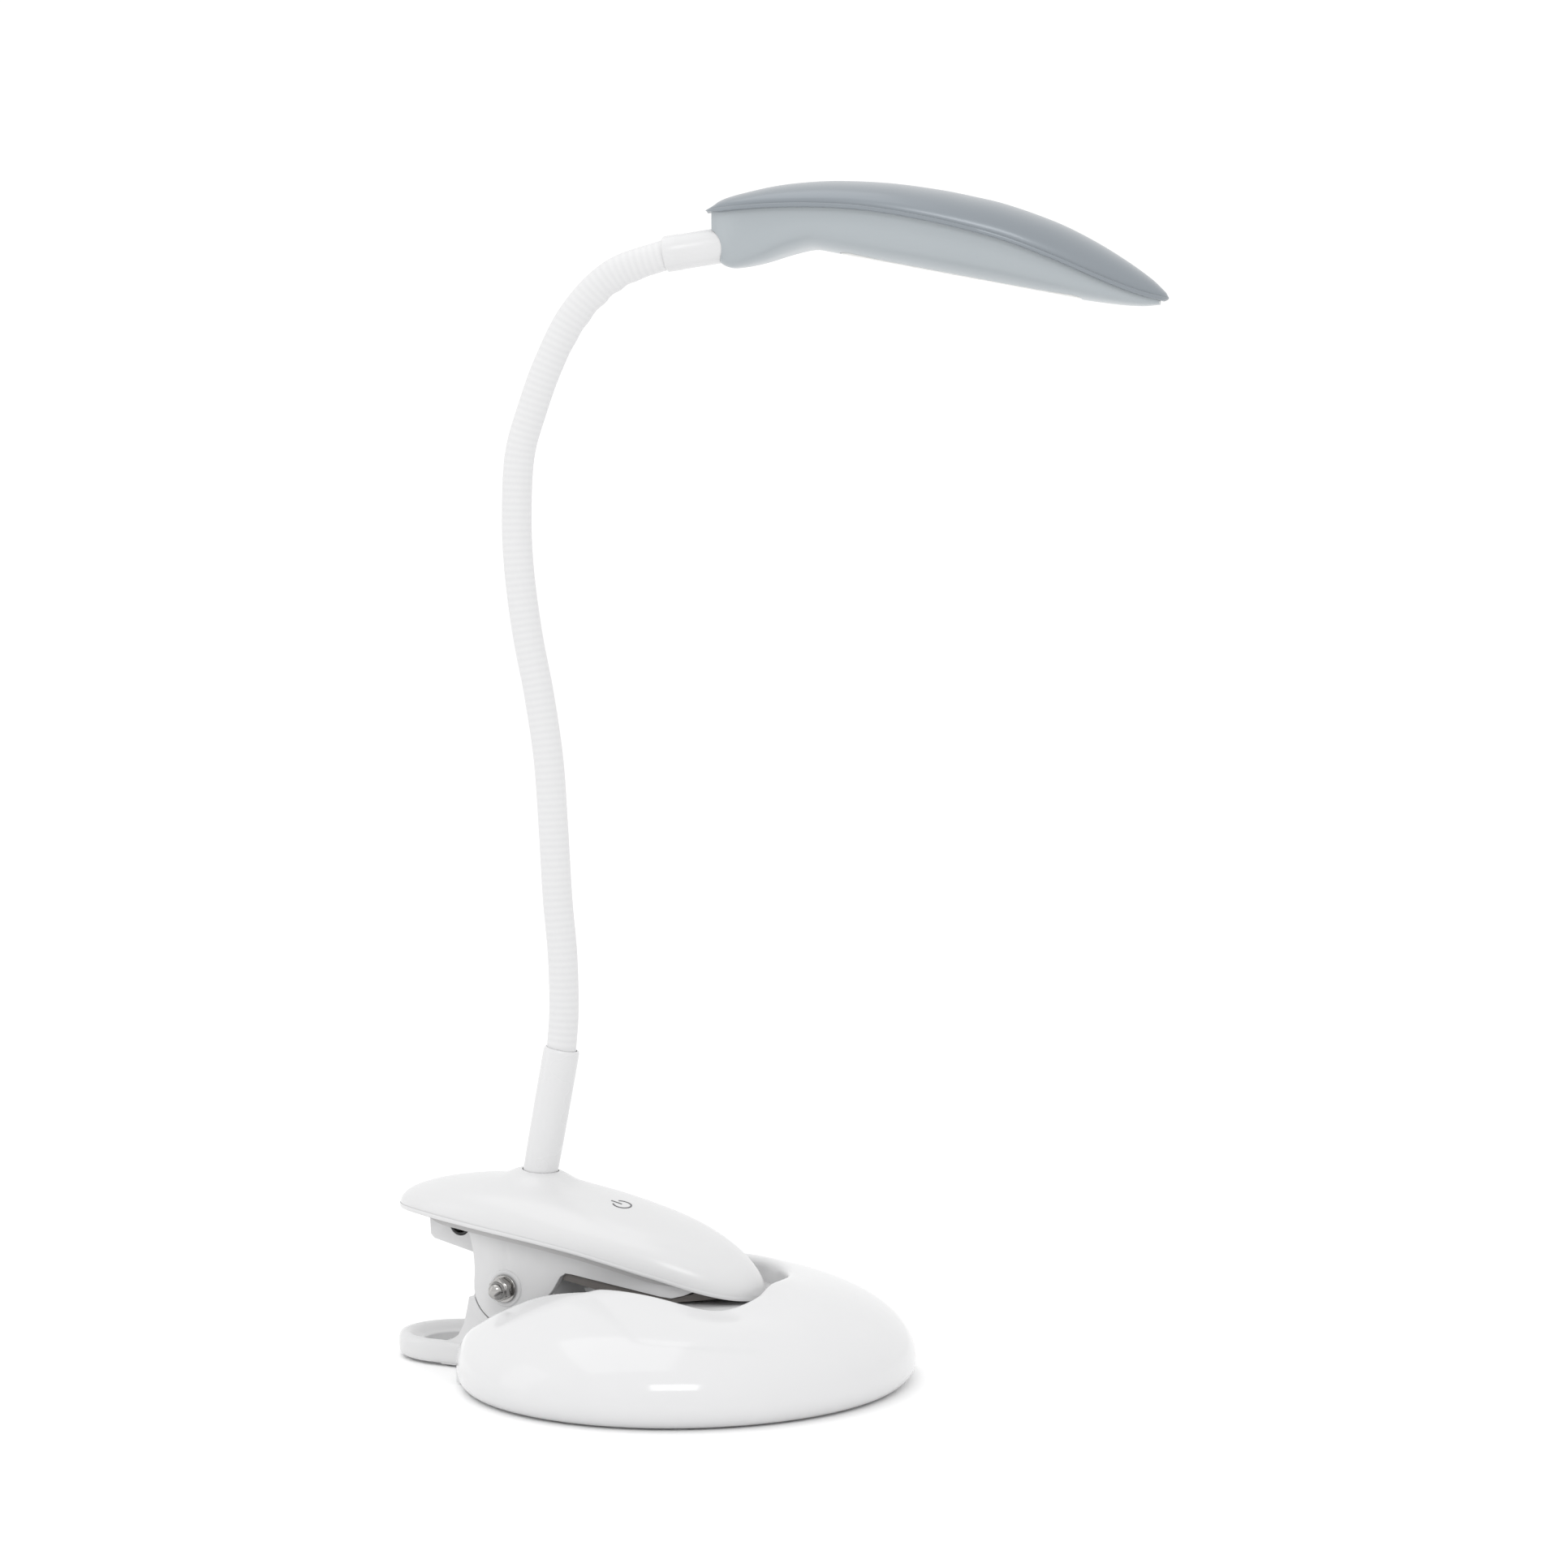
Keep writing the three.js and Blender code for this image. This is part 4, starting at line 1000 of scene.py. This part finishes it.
# The grip pad under the tray: it widens to the tray's sides and follows the nose forward.
def makeUpperPad():
    outline = [(-38.3, 34.3), (-36.8, 36.5), (3.9, trayBottom(3.9) - 0.3), (10.4, 33.1), (12.6, 34.6),
               (19.8, 32.5), (18.8, 31.6), (6.4, 30.3)]
    ribZ, ribDepth, step, perRib = 29.8, 0.8, 0.5, 8
    for i in range(36):
        groove = 0.5 - 0.5 * math.cos(2 * math.pi * i / perRib)
        outline.append((4.5 - step * i, ribZ + ribDepth * groove))
    outline.append((-14, ribZ))
    pad = combine(slab(outline, -18.2, 18.2, side=True), planCutter(4.7), operation="INTERSECT")
    pad = combine(pad, turned([(0, 0), (3.1, 0), (3.1, 20), (0, 20)], (17, 0, 20), (0, 0, 1)))
    pad = roundEdges(pad, 0.3, 2, 50)
    piece("upperPad", pad, "gripRubber", "upper_jaw", ["upper_jaw_pad"])


def makeJack():
    x, z, face = tray["jackX"], tray["jackZ"], tray["faceY"]
    barrel = [(0, 11), (3.9, 11), (3.9, -0.1), (3.7, -0.3), (3.2, -0.3), (3.0, -0.1), (3.0, 9), (0, 9)]
    cup = turned(barrel, (x, face, z), (0, 1, 0), 56)
    piece("powerSocket", cup, "jackBlack", "upper_jaw", ["dc_jack"])
    post = turned([(0, 8.9), (0.65, 8.9), (0.65, 1.8), (0.45, 1.3), (0, 1.2)], (x, face, z), (0, 1, 0), 32)
    piece("socketPin", post, "polishedSteel", "upper_jaw", ["dc_jack_pin"])


makeClipShell()
makeIcon()
makeTray()
makeUpperPad()
makeJack()
print("upper jaw built")

# Neck.
neck = dict(
    radius=5.1, ferrule=6.2, headFerrule=6.05, foot=44.4, count=9, give=11,
    ribs=129, ribDepth=0.055, perRib=6,
    line=[
        (7.5, 107), (8.6, 121), (8.3, 141), (6.6, 161), (5.2, 186), (3.6, 209), (0.4, 231),
        (-3.6, 252), (-6.4, 274), (-7.1, 291), (-5.8, 313), (-1.6, 327.5), (4.2, 343),
        (13.4, 360.2), (26.6, 373), (45.3, 379.6),
    ],
)
yaw = math.radians(clip["yaw"])
alongReach = Vector((math.cos(yaw), math.sin(yaw), 0))
sideways = Vector((-math.sin(yaw), math.cos(yaw), 0))


# A place in the neck's own plane: reach from the collar, side, height.
def inPlane(reach, side, height):
    spot = Vector((clip["collarX"], 0, 0)) + alongReach * reach + sideways * side
    return at(spot.x, spot.y, height)


# The way the neck's straight end points into the head.
endLean = math.atan2(17.5, 2.6)
endAxis = alongReach * math.sin(endLean) + Vector((0, 0, 1)) * math.cos(endLean)


# Centripetal curve through the neck's points, cut into equal steps.
def neckPoints(count):
    knots = [Vector(point) for point in neck["line"]]
    knots = [knots[0] * 2 - knots[1]] + knots + [knots[-1] * 2 - knots[-2]]
    fine = []
    for a, b, c, d in zip(knots, knots[1:], knots[2:], knots[3:]):
        t0 = 0
        t1 = t0 + (b - a).length ** 0.5
        t2 = t1 + (c - b).length ** 0.5
        t3 = t2 + (d - c).length ** 0.5
        for i in range(60):
            t = t1 + (t2 - t1) * i / 60
            ab = a * ((t1 - t) / (t1 - t0)) + b * ((t - t0) / (t1 - t0))
            bc = b * ((t2 - t) / (t2 - t1)) + c * ((t - t1) / (t2 - t1))
            cd = c * ((t3 - t) / (t3 - t2)) + d * ((t - t2) / (t3 - t2))
            abc = ab * ((t2 - t) / (t2 - t0)) + bc * ((t - t0) / (t2 - t0))
            bcd = bc * ((t3 - t) / (t3 - t1)) + cd * ((t - t1) / (t3 - t1))
            fine.append(abc * ((t2 - t) / (t2 - t1)) + bcd * ((t - t1) / (t2 - t1)))
    fine.append(knots[-2])
    runs = [0]
    for first, second in zip(fine, fine[1:]):
        runs.append(runs[-1] + (second - first).length)
    points = []
    for i in range(count + 1):
        run = runs[-1] * i / count
        k = min(max(bisect.bisect(runs, run) - 1, 0), len(fine) - 2)
        share = (run - runs[k]) / max(1e-9, runs[k + 1] - runs[k])
        spot = fine[k].lerp(fine[k + 1], share)
        points.append(inPlane(spot.x, 0, spot.y))
    return points, runs[-1]


# Folds of the sleeve on the inside of the top bend: (share of the length, height, width in ribs).
folds = [(0.872, 0.55, 1.6), (0.903, 0.75, 1.5), (0.93, 0.85, 1.4), (0.955, 0.5, 1.6), (0.845, 0.35, 1.6)]


def makeNeck():
    steps = neck["ribs"] * neck["perRib"]
    points, length = neckPoints(steps)
    frames = framesAlong(points, alongReach)
    perLength = steps / neck["count"]
    for k in range(neck["count"] + 1):
        first = 0 if k == 0 else round((k - 0.5) * perLength)
        last = steps if k == neck["count"] else round((k + 0.5) * perLength)
        joint = points[min(round(k * perLength), steps)]
        stretch = frames[first:last + 1]
        if k == 0:
            centre, side, other = stretch[0]
            ahead = side.cross(other)
            stretch = [(centre - ahead * drop * mm, side, other) for drop in (7, 4, 1.5)] + stretch
        if k == neck["count"]:
            centre, side, other = stretch[-1]
            ahead = side.cross(other)
            stretch = stretch + [(centre + ahead * rise * mm, side, other) for rise in (0.6, 1.3, 2)]
        lead = 3 if k == 0 else 0

        def grooveAt(i):
            return 0.5 - 0.5 * math.cos(2 * math.pi * (first + i - lead) / neck["perRib"])

        def place(u, v):
            i = round(v * (len(stretch) - 1))
            centre, side, other = stretch[i]
            angle = 2 * math.pi * u
            radius = neck["radius"] - neck["ribDepth"] * grooveAt(i)
            share = (first + i - lead) / steps
            for spot, height, width in folds:
                near = math.exp(-((share - spot) * neck["ribs"] / width) ** 2)
                radius += height * near * max(0, math.cos(angle)) ** 3
            return centre + (side * math.cos(angle) + other * math.sin(angle)) * radius * mm

        mesh = spread(40, len(stretch) - 1, place)
        made = piece(f"neckSleeve{k + 1}", mesh, "neckVinyl", None,
                     [f"neck_sleeve_{k + 1}"] if k < neck["count"] else [], crease=80)
        # groove depth stored per vertex, which the vinyl turns into painted shade in the grooves
        shade = made.data.color_attributes.new("groove", "FLOAT_COLOR", "POINT")
        rings = KDTree(len(stretch))
        for i, (centre, _, _) in enumerate(stretch):
            rings.insert(centre, i)
        rings.balance()
        for i, vertex in enumerate(made.data.vertices):
            depth = grooveAt(rings.find(vertex.co)[1])
            shade.data[i].color = (depth, depth, depth, 1)
        tangent = stretch[len(stretch) // 2][1].cross(stretch[len(stretch) // 2][2])
        give = tangent * neck["give"] * mm
        joint - give
        joint + give
        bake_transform(made)
    print("neck length", round(length, 1), "mm")


def makeFerrules():
    outer, reach = neck["ferrule"], neck["foot"]
    profile = [(5.35, -10.5), (5.9, -10.5), (5.95, 0), (6.12, 12), (outer, 26), (outer, reach - 1.2),
               (6.1, reach - 0.5), (5.8, reach - 0.1), (5.35, reach), (5.35, -10.5)]
    foot = turned(profile, onCollar(0), collarAxis(), 72)
    piece("neckFoot", foot, "ferruleWhite", "upper_jaw", ["neck_base_ferrule"])
    start = inPlane(45.6, 0, 379.7) / mm
    outer = neck["headFerrule"]
    profile = [(5.3, -1), (outer - 0.4, -1), (outer, -0.5), (outer, 4), (outer - 0.12, 4.3),
               (outer - 0.12, 23), (5.3, 23), (5.3, -1)]
    end = turned(profile, start, endAxis, 72)
    piece("neckEnd", end, "ferruleWhite", "head", ["neck_head_ferrule"])


makeNeck()
makeFerrules()
print("neck built")

# Head.
head = dict(
    rootS=58.4, rootEnd=100, tipS=214, halfWidth=24, skin=2,
    windowS=145.5, windowLength=82, windowHalf=11.4, slope=0.19,
)
coverCrest = lineThrough([
    (58.4, 394.6), (61.5, 396.1), (66, 398.1), (72.5, 399.8), (83.5, 402), (94.5, 403.1),
    (105.5, 403.35), (121.9, 402.4), (138.2, 400.1), (149, 397.9), (160, 395.2), (176.2, 389.4),
    (187, 384.2), (197.8, 377.8), (208.5, 370.2), (214, 364.9),
])
coverRim = lineThrough([
    (58.4, 394.0), (64, 394.6), (70.7, 395.0), (81.6, 395.4), (97.9, 395.3), (114, 394.2), (130, 391.7),
    (146.4, 388.1), (162.5, 383.6), (178.5, 377.4), (194.5, 370.4), (205, 366.4), (214, 364),
])
housingLine = lineThrough([
    (61, 381.5), (63, 377.4), (65.5, 375.4), (69, 374.7), (78, 376.2), (88, 379.2), (95.3, 380.7),
    (101, 379.9), (121.9, 375.6), (149.2, 370.3), (176.3, 365.1), (195.2, 362.2), (205, 361.4),
    (211, 361.8),
])


def headHalfWidth(reach):
    t = (reach - head["rootS"]) / (head["tipS"] - head["rootS"])
    return head["halfWidth"] * max(0, 1 - abs(2 * t - 1) ** 2.3) ** 0.62


def hullHalfWidth(reach):
    socket = 8.6 + max(0, reach - 61) * 0.62
    return max(0.3, min(headHalfWidth(reach) - 1.5, socket if reach < 92 else 40))


def coverTop(reach, side):
    half = max(0.01, headHalfWidth(reach))
    low = coverRim(reach)
    rise = max(0.03, coverCrest(reach) - low) * min(1, half / (7 if reach < head["rootEnd"] else 2.5))
    return low + rise * max(0, 1 - (side / half) ** 2) ** 0.5


def coverMesh():
    lip = [(0.1, 0.02), (0.75, -0.08), (0.95, -0.25), (0.95, -1.15), (0.75, -1.35), (-0.3, -1.5),
           (-1.3, -1.5), (-1.7, -1.2)]
    form = dict(start=head["rootS"], end=head["tipS"], half=headHalfWidth, rim=coverRim, top=coverTop,
                ceiling=coverTop, tuck=1.0, lip=lip, skin=head["skin"], place=inPlane,
                shrink=lambda s: min(1, headHalfWidth(s) / (8 if s < head["rootEnd"] else 4)))
    return lippedShell(form, 52, 150)


def makeCover():
    piece("headCover", coverMesh(), "coverGrey", "head", ["head_top_cover"], crease=50)


# The hull: soft sides below the cover, a blunt socket at the neck and a flat light window.
def hullPoint(s, turn, inset=0, lift=0):
    half = max(0.2, hullHalfWidth(s) - inset)
    high = coverRim(s) - 1.0 + lift
    if turn > 0.8:
        return inPlane(s, half * (2 * (turn - 0.8) / 0.2 - 1), high)
    angle = math.pi * turn / 0.8
    drop = max(0.3, high - housingLine(s) - inset)
    side = math.copysign(abs(math.cos(angle)) ** 0.62, math.cos(angle)) * half
    return inPlane(s, side, high - drop * abs(math.sin(angle)) ** 0.66)


# A block with round corners in plan, for the light window and its lens.
def windowBlock(halfLong, halfWide, low, high, corner):
    made = block(-halfLong, halfLong, -halfWide, halfWide, low, high)
    uprights = [edge for edge in made.edges if abs((edge.verts[0].co - edge.verts[1].co).z) > 1 * mm]
    bmesh.ops.bevel(made, geom=uprights, offset=corner * mm, offset_type="OFFSET", segments=6,
                    affect="EDGES", profile=0.5, material=-1)
    return made


def makeHousing():
    along, across = 130, 75
    s0, s1 = 61, 211

    def place(u, v):
        s = (s0 + s1) / 2 - (s1 - s0) / 2 * math.cos(math.pi * v)
        return hullPoint(s, u)

    outer = spread(across, along, place)
    inner = spread(across, 60, lambda u, v: hullPoint(74 + 130 * v, u, head["skin"], 3))
    onWindow = Matrix.Translation(inPlane(head["windowS"], 0, housingLine(head["windowS"])))
    onWindow = onWindow @ Matrix.Rotation(yaw, 4, "Z") @ Matrix.Rotation(math.atan(head["slope"]), 4, "Y")
    half = head["windowLength"] / 2
    opening = windowBlock(half, head["windowHalf"], -6, 5, 4)
    bmesh.ops.transform(opening, matrix=onWindow, verts=opening.verts)
    socket = turned([(0, 0), (6.2, 0), (6.2, 24), (0, 24)], inPlane(50, 0, 380.4) / mm, endAxis,
                    64)
    hull = combine(outer, inner, opening, socket)
    piece("headHousing", hull, "housingSilver", "head", ["head_lower_housing"], crease=42)
    lens = windowBlock(half - 0.3, head["windowHalf"] - 0.3, 0.4, 2.2, 3.8)
    lens = roundEdges(tidyMesh(lens), 0.25, 2, 60)
    bmesh.ops.transform(lens, matrix=onWindow, verts=lens.verts)
    piece("lightLens", lens, "diffuser", "head", ["head_diffuser"])


makeCover()
makeHousing()
print("head built")

# Carried-over parts.
carried = dict(
    ballastSteel=["stand_ballast"],
    plateWhite=["stand_bottom_plate"],
    screwSteel=[f"stand_screw_{i}" for i in (1, 2, 3, 4)] + [f"tray_screw_{i}" for i in (1, 2, 3)]
    + ["neck_lock_nut", "board_screw_1", "board_screw_2"],
    boardGreen=["touch_circuit_board"],
    copper=["touch_electrode"],
    neckSteel=[f"neck_core_{i + 1}" for i in range(neck["count"])],
    boardWhite=["led_board"],
    ledPhosphor=["led_strip"],
)
for look, names in carried.items():
    for name in names:
        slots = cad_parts[name].material_slots
        for holder in slots:
            holder.material = looks[look]
print("carried-over parts finished")


# Floor and studio light.
def makeStudio():
    bpy.context.scene.view_settings.view_transform = "Standard"
    mesh = bmesh.new()
    bmesh.ops.create_grid(mesh, x_segments=1, y_segments=1, size=6)
    floor = newObject("floor", mesh)
    paint = Finish("floorPaint")
    cloud = paint.noise(3, 3)
    pale = paint.blendColour(cloud, (0.97, 0.97, 0.97), (0.96, 0.96, 0.96))
    paint.set(Base_Color=pale, Roughness=cloud * 0.1 + 0.85)
    floor.data.materials.append(paint.material)
    world = bpy.data.worlds.new("studio")
    bpy.context.scene.world = world
    world.use_nodes = True
    sky = world.node_tree.nodes["Background"]
    sky.inputs["Color"].default_value = (1, 1, 1, 1)
    sky.inputs["Strength"].default_value = 1.06
    lights = [
        dict(name="key", place=(0.9, -1.6, 1.5), aim=(0, 0, 0.12), width=0.9, height=0.5, power=7),
        dict(name="top", place=(-0.5, -0.2, 1.9), aim=(0, 0, 0.1), width=1.6, height=1.2, power=5),
        dict(name="left", place=(-1.7, -0.9, 0.7), aim=(0, 0, 0.15), width=0.8, height=1.4, power=1.5),
    ]
    for light in lights:
        lamp = bpy.data.objects.new(light["name"], bpy.data.lights.new(light["name"], "AREA"))
        bpy.context.scene.collection.objects.link(lamp)
        lamp.data.shape = "RECTANGLE"
        lamp.data.size = light["width"]
        lamp.data.size_y = light["height"]
        lamp.data.energy = light["power"]
        lamp.location = light["place"]
        toward = Vector(light["aim"]) - Vector(light["place"])
        lamp.rotation_mode = "QUATERNION"
        lamp.rotation_quaternion = toward.to_track_quat("-Z", "Y")


makeStudio()
print("studio ready")
